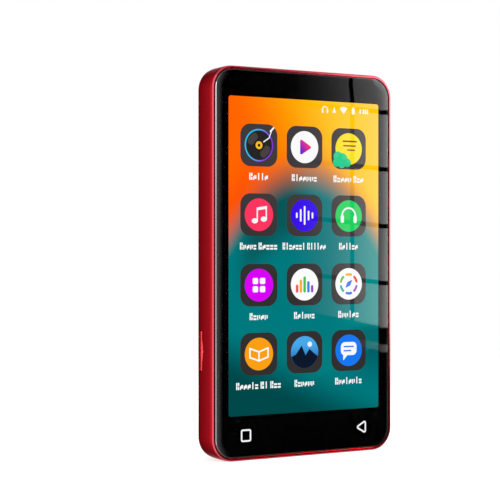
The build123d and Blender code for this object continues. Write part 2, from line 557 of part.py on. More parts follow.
def key_cap(z, length):
    """Pill-shaped key at height z, standing proud of the band and held in by a flange behind it."""
    side_pill(FLANGE_X1 - 0.01, WIDTH / 2 + KEY_PROUD, KEY_Y, z, KEY_W, length)


with BuildPart() as power_switch:
    switch_body(POWER_Z)
power_switch.part.label = "power_switch"
export_step(power_switch.part, "parts/power_switch.step")

with BuildPart() as volume_switches:
    switch_body(VOLUME_Z - SWITCH_OFFSET)
    switch_body(VOLUME_Z + SWITCH_OFFSET)
volume_switches.part.label = "volume_switches"
export_step(volume_switches.part, "parts/volume_switches.step")

with BuildPart() as power_plunger:
    plunger(POWER_Z)
power_plunger.part.label = "power_plunger"
export_step(power_plunger.part, "parts/power_plunger.step")

with BuildPart() as volume_up_plunger:
    plunger(VOLUME_Z + SWITCH_OFFSET)
volume_up_plunger.part.label = "volume_up_plunger"
export_step(volume_up_plunger.part, "parts/volume_up_plunger.step")

with BuildPart() as volume_down_plunger:
    plunger(VOLUME_Z - SWITCH_OFFSET)
volume_down_plunger.part.label = "volume_down_plunger"
export_step(volume_down_plunger.part, "parts/volume_down_plunger.step")

with BuildPart() as power_button:
    key_cap(POWER_Z, POWER_L)
    fillet(power_button.faces().sort_by(Axis.X)[-1].edges(), KEY_EDGE)
    side_pill(FLANGE_X0, FLANGE_X1, KEY_Y, POWER_Z, KEY_W + 2 * FLANGE_LIP, POWER_L + 2 * FLANGE_LIP)
power_button.part.label = "power_button"
export_step(power_button.part, "parts/power_button.step")

with BuildPart() as volume_rocker:
    key_cap(VOLUME_Z, VOLUME_L)
    fillet(volume_rocker.faces().sort_by(Axis.X)[-1].edges(), KEY_EDGE)
    side_pill(FLANGE_X0, FLANGE_X1, KEY_Y, VOLUME_Z, KEY_W + 2 * FLANGE_LIP, VOLUME_L + 2 * FLANGE_LIP)
    block(PIVOT_X, FLANGE_X0, KEY_Y - PIVOT_HALF, KEY_Y + PIVOT_HALF, VOLUME_Z - PIVOT_R, VOLUME_Z + PIVOT_R)
    disc(KEY_Y - PIVOT_HALF, KEY_Y + PIVOT_HALF, PIVOT_X, VOLUME_Z, PIVOT_R)
volume_rocker.part.label = "volume_rocker"
export_step(volume_rocker.part, "parts/volume_rocker.step")
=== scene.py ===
"""Looks of a pocket digital audio player: red band, curved glass, lit screen with app icons, dark soft back.

Lengths are in millimetres in the player's own frame (X right, Y to the back, Z up), and become metres in
each mesh.
"""
import json
import logging
import math
from dataclasses import dataclass
from enum import Enum
from typing import Iterable, Sequence

import bpy
import numpy as np
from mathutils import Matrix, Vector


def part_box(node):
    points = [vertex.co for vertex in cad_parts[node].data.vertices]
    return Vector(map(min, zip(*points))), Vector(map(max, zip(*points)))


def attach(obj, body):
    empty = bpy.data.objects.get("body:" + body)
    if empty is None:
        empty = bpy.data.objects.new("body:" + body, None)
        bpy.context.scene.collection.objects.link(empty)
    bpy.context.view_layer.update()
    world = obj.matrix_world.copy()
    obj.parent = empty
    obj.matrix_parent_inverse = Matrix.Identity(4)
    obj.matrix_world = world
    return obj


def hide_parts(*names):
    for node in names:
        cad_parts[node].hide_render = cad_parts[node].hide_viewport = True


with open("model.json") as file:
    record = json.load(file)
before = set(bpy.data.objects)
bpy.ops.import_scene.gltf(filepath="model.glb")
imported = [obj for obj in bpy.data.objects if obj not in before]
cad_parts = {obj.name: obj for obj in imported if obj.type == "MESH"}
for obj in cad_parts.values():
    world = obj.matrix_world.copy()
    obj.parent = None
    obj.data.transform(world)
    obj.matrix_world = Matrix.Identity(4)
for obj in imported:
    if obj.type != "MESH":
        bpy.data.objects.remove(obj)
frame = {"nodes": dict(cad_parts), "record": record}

LOG = logging.getLogger("player")
MM = 0.001
CASE = "case"
SMOOTH_BELOW = 30.0  # degrees; sharper folds stay crisp
SIDE_LEAD = 0.2  # distance of the points beside each corner that keep long sides flat
PICTURE_MIDDLE = 56.84  # height of the display's middle
Colour = tuple[float, float, float]
Outline = np.ndarray  # points by 2 array of x and z
Term = bpy.types.NodeSocket | float | Sequence[float]  # what a node takes: a socket, a number or a colour
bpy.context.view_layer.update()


def srgb(red: int, green: int, blue: int) -> Colour:
    """Turn display values of 0 to 255 into the linear colour that a shader wants.

    Args:
        red: display red.
        green: display green.
        blue: display blue.

    Returns:
        The linear colour.
    """
    parts = np.array([red, green, blue]) / 255.0
    linear = np.where(parts <= 0.04045, parts / 12.92, ((parts + 0.055) / 1.055) ** 2.4)
    return tuple(float(v) for v in linear)


# ---------------------------------------------------------------- shader graphs
class Graph:
    """A small writer for shader node trees, so that a pattern reads as a formula."""

    def __init__(self, tree: bpy.types.NodeTree) -> None:
        """Start from an empty tree."""
        self.tree = tree
        tree.nodes.clear()

    def node(self, kind: str, **settings: object) -> bpy.types.Node:
        """Add a node and set its properties.

        Args:
            kind: the node's type.
            settings: its properties by name.

        Returns:
            The new node.
        """
        made = self.tree.nodes.new(kind)
        for key, value in settings.items():
            setattr(made, key, value)
        return made

    def join(self, source: Term, target: bpy.types.NodeSocket) -> None:
        """Link a socket, or set a plain value, into a target socket.

        Args:
            source: a socket or a plain value.
            target: the socket that takes it.
        """
        if isinstance(source, bpy.types.NodeSocket):
            self.tree.links.new(source, target)
        elif isinstance(source, (tuple, list)) and target.type == "RGBA":
            target.default_value = (*source[:3], 1.0)
        else:
            target.default_value = source

    def math(self, how: str, *terms: Term) -> bpy.types.NodeSocket:
        """One arithmetic step on numbers or sockets.

        Args:
            how: the operation.
            terms: what it works on.

        Returns:
            The result.
        """
        step = self.node("ShaderNodeMath", operation=how)
        for slot, term in zip(step.inputs, terms):
            self.join(term, slot)
        return step.outputs[0]

    def add(self, a: Term, b: Term) -> bpy.types.NodeSocket:
        """Sum of two terms."""
        return self.math("ADD", a, b)

    def mul(self, a: Term, b: Term) -> bpy.types.NodeSocket:
        """Product of two terms."""
        return self.math("MULTIPLY", a, b)

    def size(self, a: Term) -> bpy.types.NodeSocket:
        """A term without its sign."""
        return self.math("ABSOLUTE", a)

    def length(self, a: Term, b: Term) -> bpy.types.NodeSocket:
        """Length of the line whose two legs are given."""
        return self.math("SQRT", self.add(self.mul(a, a), self.mul(b, b)))

    def smooth(self, value: Term, low: float, high: float) -> bpy.types.NodeSocket:
        """Smooth step of a value, 0 at low and 1 at high, which may be given in either order.

        Args:
            value: what is measured.
            low: where the step is 0.
            high: where the step is 1.

        Returns:
            The step.
        """
        step = self.node("ShaderNodeMapRange", interpolation_type="SMOOTHSTEP")
        ends = (high, low, 1.0, 0.0) if low > high else (low, high, 0.0, 1.0)
        self.join(value, step.inputs["Value"])
        for label, end in zip(("From Min", "From Max", "To Min", "To Max"), ends):
            step.inputs[label].default_value = end
        return step.outputs["Result"]

    def mix(self, share: Term, a: Term, b: Term) -> bpy.types.NodeSocket:
        """Colour a turning into colour b as the share goes from 0 to 1.

        Args:
            share: how far it has turned.
            a: colour at 0.
            b: colour at 1.

        Returns:
            The mixed colour.
        """
        step = self.node("ShaderNodeMix", data_type="RGBA")
        self.join(share, step.inputs[0])
        self.join(a, step.inputs[6])
        self.join(b, step.inputs[7])
        return step.outputs[2]

    def place(self) -> tuple[bpy.types.NodeSocket, ...]:
        """The object's own x, y and z, in millimetres.

        Returns:
            The three sockets.
        """
        where = self.node("ShaderNodeTexCoord")
        apart = self.node("ShaderNodeSeparateXYZ")
        self.join(where.outputs["Object"], apart.inputs[0])
        return tuple(self.mul(out, 1.0 / MM) for out in apart.outputs)

    def noise(self, size_mm: float, detail: float = 2.0,
              stretch: Sequence[float] = (1, 1, 1)) -> bpy.types.NodeSocket:
        """Cloudy pattern with features of the given size, on the object's own coordinates.

        Args:
            size_mm: size of the features.
            detail: how many finer layers are added.
            stretch: scale along x, y and z.

        Returns:
            The pattern, 0 to 1.
        """
        where = self.node("ShaderNodeTexCoord")
        scaled = self.node("ShaderNodeMapping")
        cloud = self.node("ShaderNodeTexNoise")
        scaled.inputs["Scale"].default_value = tuple(stretch)
        cloud.inputs["Scale"].default_value = 1.0 / (size_mm * MM)
        cloud.inputs["Detail"].default_value = detail
        self.join(where.outputs["Object"], scaled.inputs[0])
        self.join(scaled.outputs[0], cloud.inputs["Vector"])
        return cloud.outputs["Fac"]


# ---------------------------------------------------------------- finishes
def new_shader(name: str) -> tuple[bpy.types.Material, Graph, bpy.types.Node]:
    """A new material with one principled shader.

    Args:
        name: the material's name.

    Returns:
        The material, its graph and its shader.
    """
    material = bpy.data.materials.new(name)
    material.use_nodes = True
    graph = Graph(material.node_tree)
    shader = graph.node("ShaderNodeBsdfPrincipled")
    graph.join(shader.outputs[0], graph.node("ShaderNodeOutputMaterial").inputs[0])
    return material, graph, shader


class Grain(Enum):
    """How a surface's fine pattern runs."""

    EVEN = (1.0, 1.0, 1.0)
    ALONG_X = (0.04, 1.0, 1.0)


@dataclass(frozen=True)
class Finish:
    """One surface finish: colour, gloss and fine relief.

    Attributes:
        name: the material's name.
        colour: linear base colour.
        metal: 1 for bare metal, 0 for the rest.
        rough: mean roughness.
        spread: how far roughness and tone wander over the surface.
        grain_mm: size of the fine relief.
        relief: strength of the fine relief.
        run: direction of the grain.
        coat: clear layer on top.
        specular: strength of the plain reflection, 0.5 being ordinary plastic.
        bend: index of refraction, which sets how much a polished surface mirrors.
    """

    name: str
    colour: Colour
    metal: float = 0.0
    rough: float = 0.45
    spread: float = 0.1
    grain_mm: float = 0.15
    relief: float = 0.05
    run: Grain = Grain.EVEN
    coat: float = 0.0
    specular: float = 0.5
    bend: float = 1.5

    def graph(self) -> tuple[bpy.types.Material, Graph, bpy.types.Node]:
        """Make the material with its grain and wandering tone.

        Returns:
            The material, its graph and the principled shader, for more detail to be added.
        """
        material, graph, shader = new_shader(self.name)
        shader.inputs["Metallic"].default_value = self.metal
        shader.inputs["Coat Weight"].default_value = self.coat
        shader.inputs["Coat Roughness"].default_value = 0.12
        shader.inputs["Specular IOR Level"].default_value = self.specular
        shader.inputs["IOR"].default_value = self.bend
        cloud = graph.noise(14.0 * self.grain_mm, 3.0, self.run.value)
        dim = tuple(v * (1 - self.spread) for v in self.colour)
        light = tuple(min(1.0, v * (1 + self.spread)) for v in self.colour)
        graph.join(graph.mix(cloud, dim, light), shader.inputs["Base Color"])
        graph.join(graph.add(graph.mul(cloud, self.rough * 2 * self.spread), self.rough * (1 - self.spread)),
                   shader.inputs["Roughness"])
        bump = graph.node("ShaderNodeBump")
        bump.inputs["Strength"].default_value = self.relief
        bump.inputs["Distance"].default_value = 0.02 * MM
        graph.join(graph.noise(self.grain_mm, 2.0, self.run.value), bump.inputs["Height"])
        graph.join(bump.outputs[0], shader.inputs["Normal"])
        return material, graph, shader

    def make(self) -> bpy.types.Material:
        """The finished material, made once."""
        known = bpy.data.materials.get(self.name)
        return known if known else self.graph()[0]


@dataclass(frozen=True)
class Anodised(Finish):
    """Blasted and dyed aluminium whose front and back corners are cut bright; the red carries painted shade,
    darker to the back, and the cut's paler colour is partly a painted highlight.

    Attributes:
        cut_and_highlight_colour: colour of the polished cut, paler than the red partly as a painted
            highlight.
        cut_depths: the front and back depths between which the surface is not cut.
        cut_edge: half the width over which the red turns into the cut.
        cut_polish: share of the roughness that the cut takes away.
        painted_back_shade: brightness of the red at the back, in painted shade for how the light falls across
            the band.
        painted_front_light: painted light added to it at the front.
        painted_shade_depths: back and front depths between which the painted shade changes.
        sheen: tint of the grazing reflection.
    """

    cut_and_highlight_colour: Colour = (0.8, 0.1, 0.14)
    cut_depths: tuple[float, float] = (-4.5, 3.7)
    cut_edge: float = 0.03
    cut_polish: float = 0.45
    painted_back_shade: float = 0.444
    painted_front_light: float = 0.468
    painted_shade_depths: tuple[float, float] = (4.6, -5.0)
    sheen: Colour = (1.0, 0.45, 0.48)

    def make(self) -> bpy.types.Material:
        """The dyed metal with painted shade, darker to the back and lighter to the front, and its two cut
        corners, whose paler colour is partly a painted highlight.

        Returns:
            The material.
        """
        known = bpy.data.materials.get(self.name)
        if known:
            return known
        material, graph, shader = self.graph()
        depth = graph.place()[1]
        near, far = self.cut_depths
        front = graph.smooth(depth, near + self.cut_edge, near - self.cut_edge)
        back = graph.smooth(depth, far - self.cut_edge, far + self.cut_edge)
        cut = graph.math("MAXIMUM", front, back)
        # Painted shade: the red is darkened towards the back and lightened towards the front, standing in for
        # how the light falls across the side of the band.
        painted_shading = graph.add(graph.mul(graph.smooth(depth, *self.painted_shade_depths), self.painted_front_light), self.painted_back_shade)
        even = shader.inputs["Base Color"].links[0].from_socket
        rough = shader.inputs["Roughness"].links[0].from_socket
        tone = graph.mix(painted_shading, (0.0, 0.0, 0.0), even)
        # Painted highlight, in part: the cut corners are polished metal, and their paler pink also stands in
        # for the highlight that runs along them.
        graph.join(graph.mix(cut, tone, self.cut_and_highlight_colour), shader.inputs["Base Color"])
        shader.inputs["Specular Tint"].default_value = (*self.sheen, 1.0)
        polished = graph.mul(rough, graph.add(graph.mul(cut, -self.cut_polish), 1.0))
        graph.join(polished, shader.inputs["Roughness"])
        return material


@dataclass(frozen=True)
class ClearGlass(Finish):
    """Glass so well coated that what it mirrors is left to the print and picture right under its skin.

    Attributes:
        bend: index of refraction.
    """

    bend: float = 1.02

    def make(self) -> bpy.types.Material:
        """The clear glass.

        Returns:
            The material.
        """
        known = bpy.data.materials.get(self.name)
        if known:
            return known
        material, _, shader = new_shader(self.name)
        shader.inputs["Base Color"].default_value = (*self.colour, 1.0)
        shader.inputs["Roughness"].default_value = self.rough
        shader.inputs["IOR"].default_value = self.bend
        shader.inputs["Transmission Weight"].default_value = 1.0
        return material


@dataclass(frozen=True)
class Lit(Finish):
    """A plain lit area of the display.

    Attributes:
        power: brightness, where 1 is as bright as white paper.
        rough: roughness of the polished face.
        bend: index of refraction, which sets how much the face mirrors.
    """

    power: float = 1.06
    rough: float = 0.0
    bend: float = 1.42

    def start(self) -> tuple[bpy.types.Material, Graph, bpy.types.Node]:
        """Make a dark material that shines.

        Returns:
            The material, its graph and the principled shader.
        """
        material, graph, shader = new_shader(self.name)
        shader.inputs["Base Color"].default_value = (0.0, 0.0, 0.0, 1.0)
        shader.inputs["Roughness"].default_value = self.rough
        shader.inputs["IOR"].default_value = self.bend
        shader.inputs["Emission Strength"].default_value = self.power
        return material, graph, shader

    def make(self) -> bpy.types.Material:
        """The lit colour, made once, which a broad soft cloud deepens here and there.

        Returns:
            The material.
        """
        known = bpy.data.materials.get(self.name)
        if known:
            return known
        material, graph, shader = self.start()
        cloud = graph.noise(9.0, 1.0)
        deep = tuple(v * 0.9 for v in self.colour)
        graph.join(graph.mix(cloud, deep, self.colour), shader.inputs["Emission Color"])
        return material


@dataclass(frozen=True)
class LitBlend(Lit):
    """A lit area whose colour runs from one tone to another across it.

    Attributes:
        other: the far tone.
        start_at: x and z where the first tone ends.
        end_at: x and z where the far tone begins.
    """

    other: Colour = (1.0, 1.0, 1.0)
    start_at: tuple[float, float] = (0.0, 0.0)
    end_at: tuple[float, float] = (1.0, 0.0)

    def make(self) -> bpy.types.Material:
        """The blend: how far a point lies along the line from start to end, as a share of its length.

        Returns:
            The material.
        """
        material, graph, shader = self.start()
        x, _, z = graph.place()
        line = np.array(self.end_at) - np.array(self.start_at)
        line = line / float(line @ line)
        along = graph.add(graph.mul(graph.add(x, -self.start_at[0]), float(line[0])),
                          graph.mul(graph.add(z, -self.start_at[1]), float(line[1])))
        share = graph.smooth(along, 0.0, 1.0)
        graph.join(graph.mix(share, self.colour, self.other), shader.inputs["Emission Color"])
        return material


@dataclass(frozen=True)
class Wallpaper(Lit):
    """The display's background: a warm cloud over deep teal, blurred where they meet.

    Attributes:
        middle: height of the display's middle.
        arch_top: height of the cloud's lower edge in the middle, from the display's middle.
        arch_bend: how fast that edge falls away to the sides.
        blur: half the width over which cloud and teal meet.
        slope: tilt of the gold, the deep corner and the soft wave.
        crest: how far the wave's crest lies under the display's middle.
    """

    middle: float = PICTURE_MIDDLE
    arch_top: float = 24.0
    arch_bend: float = 0.03
    blur: float = 7.0
    slope: float = 0.42
    crest: float = 37.0

    def make(self) -> bpy.types.Material:
        """The background, worked out from x and z on the display; the cloud's lower edge is an arch.

        Returns:
            The material.
        """
        material, graph, shader = self.start()
        x, _, height = graph.place()
        z = graph.add(height, -self.middle)
        arch = graph.add(graph.mul(graph.mul(x, x), -self.arch_bend), self.arch_top)
        above = graph.math("SUBTRACT", z, arch)
        warm_share = graph.smooth(above, -self.blur, self.blur)
        cloud, teal = self.cloud(graph, x, z, above), self.teal(graph, x, z, above)
        graph.join(graph.mix(warm_share, teal, cloud), shader.inputs["Emission Color"])
        return material

    def cloud(self, graph: Graph, x: Term, z: Term, above: Term) -> bpy.types.NodeSocket:
        """Orange that turns to gold to the upper right, duskier near its lower edge and redder at the left.

        Args:
            graph: the material's graph.
            x: sideways place.
            z: height from the display's middle.
            above: height over the arch.

        Returns:
            The cloud's colour.
        """
        gold = graph.smooth(graph.add(x, graph.mul(graph.add(z, -40.0), self.slope)), -24.0, 16.0)
        dusk = graph.mul(graph.smooth(above, 10.0, -2.0), 0.55)
        ember = graph.mul(graph.smooth(above, 19.0, 6.0), graph.smooth(x, -10.0, -22.0))
        warm = graph.mix(gold, srgb(255, 98, 0), srgb(254, 196, 8))
        warm = graph.mix(dusk, warm, srgb(236, 92, 12))
        return graph.mix(graph.mul(ember, 0.8), warm, srgb(242, 78, 8))

    def teal(self, graph: Graph, x: Term, z: Term, above: Term) -> bpy.types.NodeSocket:
        """Teal with a deep lower corner, a shadow under the arch, a lighter teal at the right that is a
        painted reflection of the window, a darker teal at the lower right, and a wave.

        Args:
            graph: the material's graph.
            x: sideways place.
            z: height from the display's middle.
            above: height over the arch.

        Returns:
            The teal's colour.
        """
        corner = graph.add(graph.mul(z, -1.0), graph.mul(graph.add(x, 24.0), -self.slope))
        teal = graph.mix(graph.smooth(corner, 19.0, 34.0), srgb(0, 118, 122), srgb(0, 70, 72))
        shadow = graph.mul(graph.smooth(above, -24.0, -12.0), graph.smooth(x, 4.0, -7.0))
        shadow = graph.mul(shadow, graph.smooth(x, -25.0, -15.0))
        teal = graph.mix(shadow, teal, srgb(8, 84, 86))
        # Painted reflection: lighter teal at the right, down to the window's lower edge, standing in for the
        # window mirrored in the glass.
        right = graph.mul(graph.smooth(x, 6.0, 24.0), graph.smooth(z, -22.5, -19.0))
        teal = graph.mix(right, teal, srgb(2, 136, 134))
        low = graph.mul(graph.smooth(x, 12.0, 22.0), graph.smooth(z, -41.0, -25.0))
        low = graph.mul(low, graph.smooth(z, -19.0, -22.5))
        teal = graph.mix(low, teal, srgb(0, 92, 97))
        over_crest = graph.add(z, graph.add(graph.mul(x, -self.slope), self.crest))
        wave = graph.mul(graph.smooth(over_crest, 0.0, 1.2), graph.smooth(over_crest, 16.0, 3.0))
        wave = graph.mul(wave, graph.smooth(x, -4.0, 10.0))
        return graph.mix(graph.mul(wave, 0.4), teal, srgb(10, 128, 128))


RED_METAL = Anodised("red_anodised", (0.77, 0.022, 0.032), metal=1.0, rough=0.2, spread=0.06, grain_mm=0.08,
                     relief=0.06)
DARK_BACK = Finish("dark_soft_back", srgb(44, 44, 46), rough=0.5, spread=0.08, grain_mm=0.12, relief=0.10,
                   specular=0.45)
DARK_KEY = Finish("dark_satin_key", srgb(70, 70, 74), metal=0.7, rough=0.34, spread=0.08, grain_mm=0.06,
                  relief=0.05)
GLASS = ClearGlass("clear_cover_glass", (1.0, 1.0, 1.0), rough=0.0)
GLOSS_BLACK = Finish("black_print_under_glass", (0.0006, 0.0006, 0.0007), rough=0.0, spread=0.02,
                     grain_mm=0.4, relief=0.0, specular=0.5, bend=1.33)
GLASS_RIM = Finish("polished_glass_bevel", (0.004, 0.004, 0.004), rough=0.05, spread=0.02, relief=0.0,
                   bend=1.85)
BLACK_INK = Finish("black_ink", (0.0012, 0.0012, 0.0013), rough=0.6, spread=0.1, relief=0.0, specular=0.1)
RED_PULL = Finish("red_moulded_pull", (0.66, 0.018, 0.035), rough=0.3, spread=0.05, grain_mm=0.05,
                  relief=0.03)
STEEL = Finish("brushed_steel", (0.56, 0.56, 0.57), metal=1.0, rough=0.28, grain_mm=0.05, run=Grain.ALONG_X)
NODE_FINISHES: dict[str, Finish] = {
    "red_anodised_aluminium": RED_METAL,
    "clear_glass": GLASS,
    "black_border_ink": BLACK_INK,
    "clear_adhesive": Finish("grey_tape", (0.2, 0.2, 0.2), rough=0.5),
    "polyimide_flex": Finish("amber_film", (0.5, 0.24, 0.05), rough=0.3, coat=0.3, grain_mm=0.3),
    "milky_acrylic": Finish("milky_acrylic", (0.8, 0.82, 0.83), rough=0.2, spread=0.03),
    "white_plastic": Finish("white_plastic", (0.78, 0.78, 0.76), rough=0.4, spread=0.04),
    "lit_display": Finish("display_back", (0.01, 0.012, 0.014), rough=0.3),
    "black_chip_resin": Finish("chip_resin", (0.02, 0.02, 0.022), rough=0.6, grain_mm=0.06, relief=0.2),
    "stainless_steel": STEEL,
    "black_foam": Finish("black_foam", (0.015, 0.015, 0.016), rough=0.9, grain_mm=0.2, relief=0.6),
    "cast_aluminium": Finish("cast_aluminium", (0.5, 0.5, 0.51), metal=1.0, rough=0.5, grain_mm=0.2,
                             relief=0.3),
    "green_circuit_board": Finish("green_resist", (0.01, 0.12, 0.05), rough=0.3, coat=0.4, grain_mm=0.4),
    "black_plastic": Finish("black_plastic", (0.02, 0.02, 0.021), rough=0.45, grain_mm=0.1, relief=0.1),
    "tan_ceramic_parts": Finish("tan_ceramic", (0.42, 0.3, 0.18), rough=0.6),
    "gold_contacts": Finish("gold_flash", (0.8, 0.55, 0.2), metal=1.0, rough=0.2, spread=0.05),
    "battery_pouch": Finish("foil_pouch", (0.32, 0.33, 0.35), metal=0.8, rough=0.35, grain_mm=0.8,
                            relief=0.3),
    "red_wire": Finish("red_wire", (0.5, 0.02, 0.02), rough=0.4),
    "graphite": Finish("graphite", (0.05, 0.05, 0.052), rough=0.4, grain_mm=0.3),
    "dark_grey_keys": DARK_KEY,
    "pale_plastic": Finish("pale_plastic", (0.7, 0.7, 0.68), rough=0.4, spread=0.04),
    "dark_grey_cover": DARK_BACK,
}


# ---------------------------------------------------------------- shapes
def around(angle: np.ndarray | float) -> Outline:
    """Points of the unit circle: the cosine and the sine of each angle."""
    return np.stack([np.cos(angle), np.sin(angle)], axis=-1)


def rounded_outline(w: float, h: float, r: float, turn: int = 12, lead: float = 0.0) -> Outline:
    """Outline of a rounded rectangle about the origin, anticlockwise as seen from the front.

    The corner centres stand r inside each corner, and each carries a quarter circle of turn + 1 points. With
    a lead, one more point stands on the straight side before and after each quarter circle, so that a long
    flat side is shaded as flat.

    Args:
        w: width.
        h: height.
        r: corner radius.
        turn: steps in each quarter circle.
        lead: distance of the extra points from the quarter circles, or 0 for none.

    Returns:
        Points by 2 array of x and z.
    """
    angle = np.linspace(0.0, math.pi / 2, turn + 1)[None, :] + np.arange(4)[:, None] * math.pi / 2
    signs = np.array([[1, 1], [-1, 1], [-1, -1], [1, -1]])[:, None, :]
    centre = signs * np.array([w / 2 - r, h / 2 - r])
    arcs = centre + r * around(angle)
    if lead > 0:
        along = lead * around(angle + math.pi / 2)
        arcs = np.concatenate([arcs[:, :1] - along[:, :1], arcs, arcs[:, -1:] + along[:, -1:]], axis=1)
    return arcs.reshape(-1, 2)


def disc_outline(r: float, count: int = 48) -> Outline:
    """Circle of the given radius: r times the unit circle at evenly spaced angles."""
    return r * around(np.arange(count) * 2 * math.pi / count)


def band_outline(radius: float, width: float, start: float, end: float, count: int = 24) -> Outline:
    """Arc band with round ends: the outer arc forwards, a half circle, the inner arc back, a half circle.

    Args:
        radius: radius of the band's middle.
        width: width of the band.
        start: first angle, in degrees.
        end: last angle, in degrees.
        count: steps along the arc.

    Returns:
        Points by 2 array of x and z.
    """
    a, b = math.radians(start), math.radians(end)
    sweep = np.linspace(a, b, count)
    cap = np.linspace(0.0, math.pi, 9)[1:-1]
    outer, inner = (radius + width / 2) * around(sweep), (radius - width / 2) * around(sweep[::-1])
    far = radius * around(b) + width / 2 * around(b + cap)
    near = radius * around(a) + width / 2 * around(a + math.pi + cap)
    return np.concatenate([outer, far, inner, near])


def stroke_outline(x0: float, z0: float, x1: float, z1: float, width: float) -> Outline:
    """Round-ended straight stroke between two points: a half circle about each end, joined.

    Args:
        x0: side of the first end.
        z0: height of the first end.
        x1: side of the second end.
        z1: height of the second end.
        width: the line's width.

    Returns:
        Points by 2 array.
    """
    angle = math.atan2(z1 - z0, x1 - x0)
    cap = np.linspace(-math.pi / 2, math.pi / 2, 9)
    far = width / 2 * around(angle + cap) + [x1, z1]
    near = width / 2 * around(angle + math.pi + cap) + [x0, z0]
    return np.concatenate([far, near])


def block_outline(x0: float, z0: float, x1: float, z1: float) -> Outline:
    """Square-cornered block between two opposite corners."""
    return np.array([[x0, z0], [x1, z0], [x1, z1], [x0, z1]])


def shift(outline: Outline, x: float, z: float) -> Outline:
    """An outline moved by (x, z)."""
    return outline + np.array([x, z])


def build(name: str, points: np.ndarray, faces: Iterable[Sequence[int]],
          smooth: bool = False) -> bpy.types.Object:
    """Put points, in millimetres, and faces into a new object at the origin.

    Args:
        name: the object's name.
        points: points by 3 array.
        faces: corner numbers of each face.
        smooth: whether four-cornered faces are shaded smoothly across gentle folds.

    Returns:
        The new object.
    """
    mesh = bpy.data.meshes.new(name)
    mesh.from_pydata((points * MM).tolist(), [], [list(map(int, f)) for f in faces])
    if smooth:
        corners = np.empty(len(mesh.polygons), dtype=np.int32)
        mesh.polygons.foreach_get("loop_total", corners)
        mesh.polygons.foreach_set("use_smooth", corners == 4)
        mesh.set_sharp_from_angle(angle=math.radians(SMOOTH_BELOW))
    mesh.update()
    made = bpy.data.objects.new(name, mesh)
    bpy.context.scene.collection.objects.link(made)
    return made


def plates(name: str, outlines: Sequence[Outline], front: float, back: float) -> bpy.types.Object:
    """Flat plates, one for each outline: the outline at the front depth, again at the back, and walls.

    Args:
        name: the object's name.
        outlines: each a points by 2 array of x and z, anticlockwise from the front.
        front: depth of the front faces.
        back: depth of the back faces.

    Returns:
        One object with all the plates.
    """
    points, faces, base = [], [], 0
    for outline in outlines:
        n = len(outline)
        for depth in (front, back):
            points.append(np.column_stack([outline[:, 0], np.full(n, depth), outline[:, 1]]))
        ring = np.arange(n)
        after = (ring + 1) % n
        walls = np.column_stack([ring, ring + n, after + n, after]) + base
        faces.append((ring + base).tolist())
        faces.append((ring[::-1] + n + base).tolist())
        faces.extend(walls.tolist())
        base += 2 * n
    return build(name, np.concatenate(points), faces)


Ring = tuple[float, float, float, float, float]


def inset_rings(profile: np.ndarray, w: float, h: float, r: float, middle: float) -> list[Ring]:
    """Rings drawn in from a rounded rectangle: width and height less twice the inset, corner less the inset.

    Args:
        profile: points by 2 array of inset and depth.
        w: width of the uninset outline.
        h: its height.
        r: its corner radius.
        middle: height of its middle.

    Returns:
        Width, height, corner radius, depth and middle of each ring.
    """
    return [(w - 2 * d, h - 2 * d, max(r - d, 0.05), y, middle) for d, y in profile.tolist()]


class Facing(Enum):
    """Which way a piece's depth runs: the order in which its side, depth and height become x, y and z."""

    FRONT = (0, 1, 2)
    LEFT = (1, 0, 2)


def carried(name: str, rings: Sequence[Ring], turn: int = 20, loop: bool = False,
            facing: Facing = Facing.FRONT, across: float = 0.0) -> bpy.types.Object:
    """A skin over rounded rectangles: point (i, j) is point j of ring i's outline, at ring i's depth.

    An open run of rings is closed by a flat face at each end; a looped run makes a hoop.

    Args:
        name: the object's name.
        rings: width, height, corner radius, depth and middle of each, from the back round to the front.
        turn: steps in each corner.
        loop: whether the last ring joins the first.
        facing: which way the depth runs.
        across: sideways place of the rings' middle.

    Returns:
        The new object, shaded smoothly across gentle folds.
    """
    outlines = [rounded_outline(w, h, r, turn, lead=SIDE_LEAD) for w, h, r, _, _ in rings]
    n, m = len(outlines[0]), len(rings)
    points = np.concatenate([
        np.column_stack([outline[:, 0] + across, np.full(n, ring[3]), outline[:, 1] + ring[4]])
        for outline, ring in zip(outlines, rings)])[:, facing.value]
    j = np.arange(n)
    k = (j + 1) % n
    i = np.arange(m if loop else m - 1)[:, None]
    up = (i + 1) % m
    faces = np.stack([i * n + j, i * n + k, up * n + k, up * n + j], axis=-1).reshape(-1, 4).tolist()
    if not loop:
        faces.append(j[::-1].tolist())
        faces.append((j + (m - 1) * n).tolist())
    if facing is not Facing.FRONT:
        faces = [face[::-1] for face in faces]
    return build(name, points, faces, smooth=True)


def hoops(name: str, pairs: Sequence[tuple[Outline, Outline]], front: float,
          back: float) -> bpy.types.Object:
    """Flat hoops between pairs of outlines that have as many points: front, walls and back.

    Args:
        name: the object's name.
        pairs: outer and inner outline of each hoop.
        front: depth of the front faces.
        back: depth of the back faces.

    Returns:
        One object with all the hoops.
    """
    points, faces, base = [], [], 0
    for outer, inner in pairs:
        n = len(outer)
        for outline, depth in ((outer, front), (outer, back), (inner, back), (inner, front)):
            points.append(np.column_stack([outline[:, 0], np.full(n, depth), outline[:, 1]]))
        j = np.arange(n)
        k = (j + 1) % n
        i = np.arange(4)[:, None]
        up = (i + 1) % 4
        walls = np.stack([i * n + j, up * n + j, up * n + k, i * n + k], axis=-1).reshape(-1, 4) + base
        faces += walls.tolist()
        base += 4 * n
    return build(name, np.concatenate(points), faces)


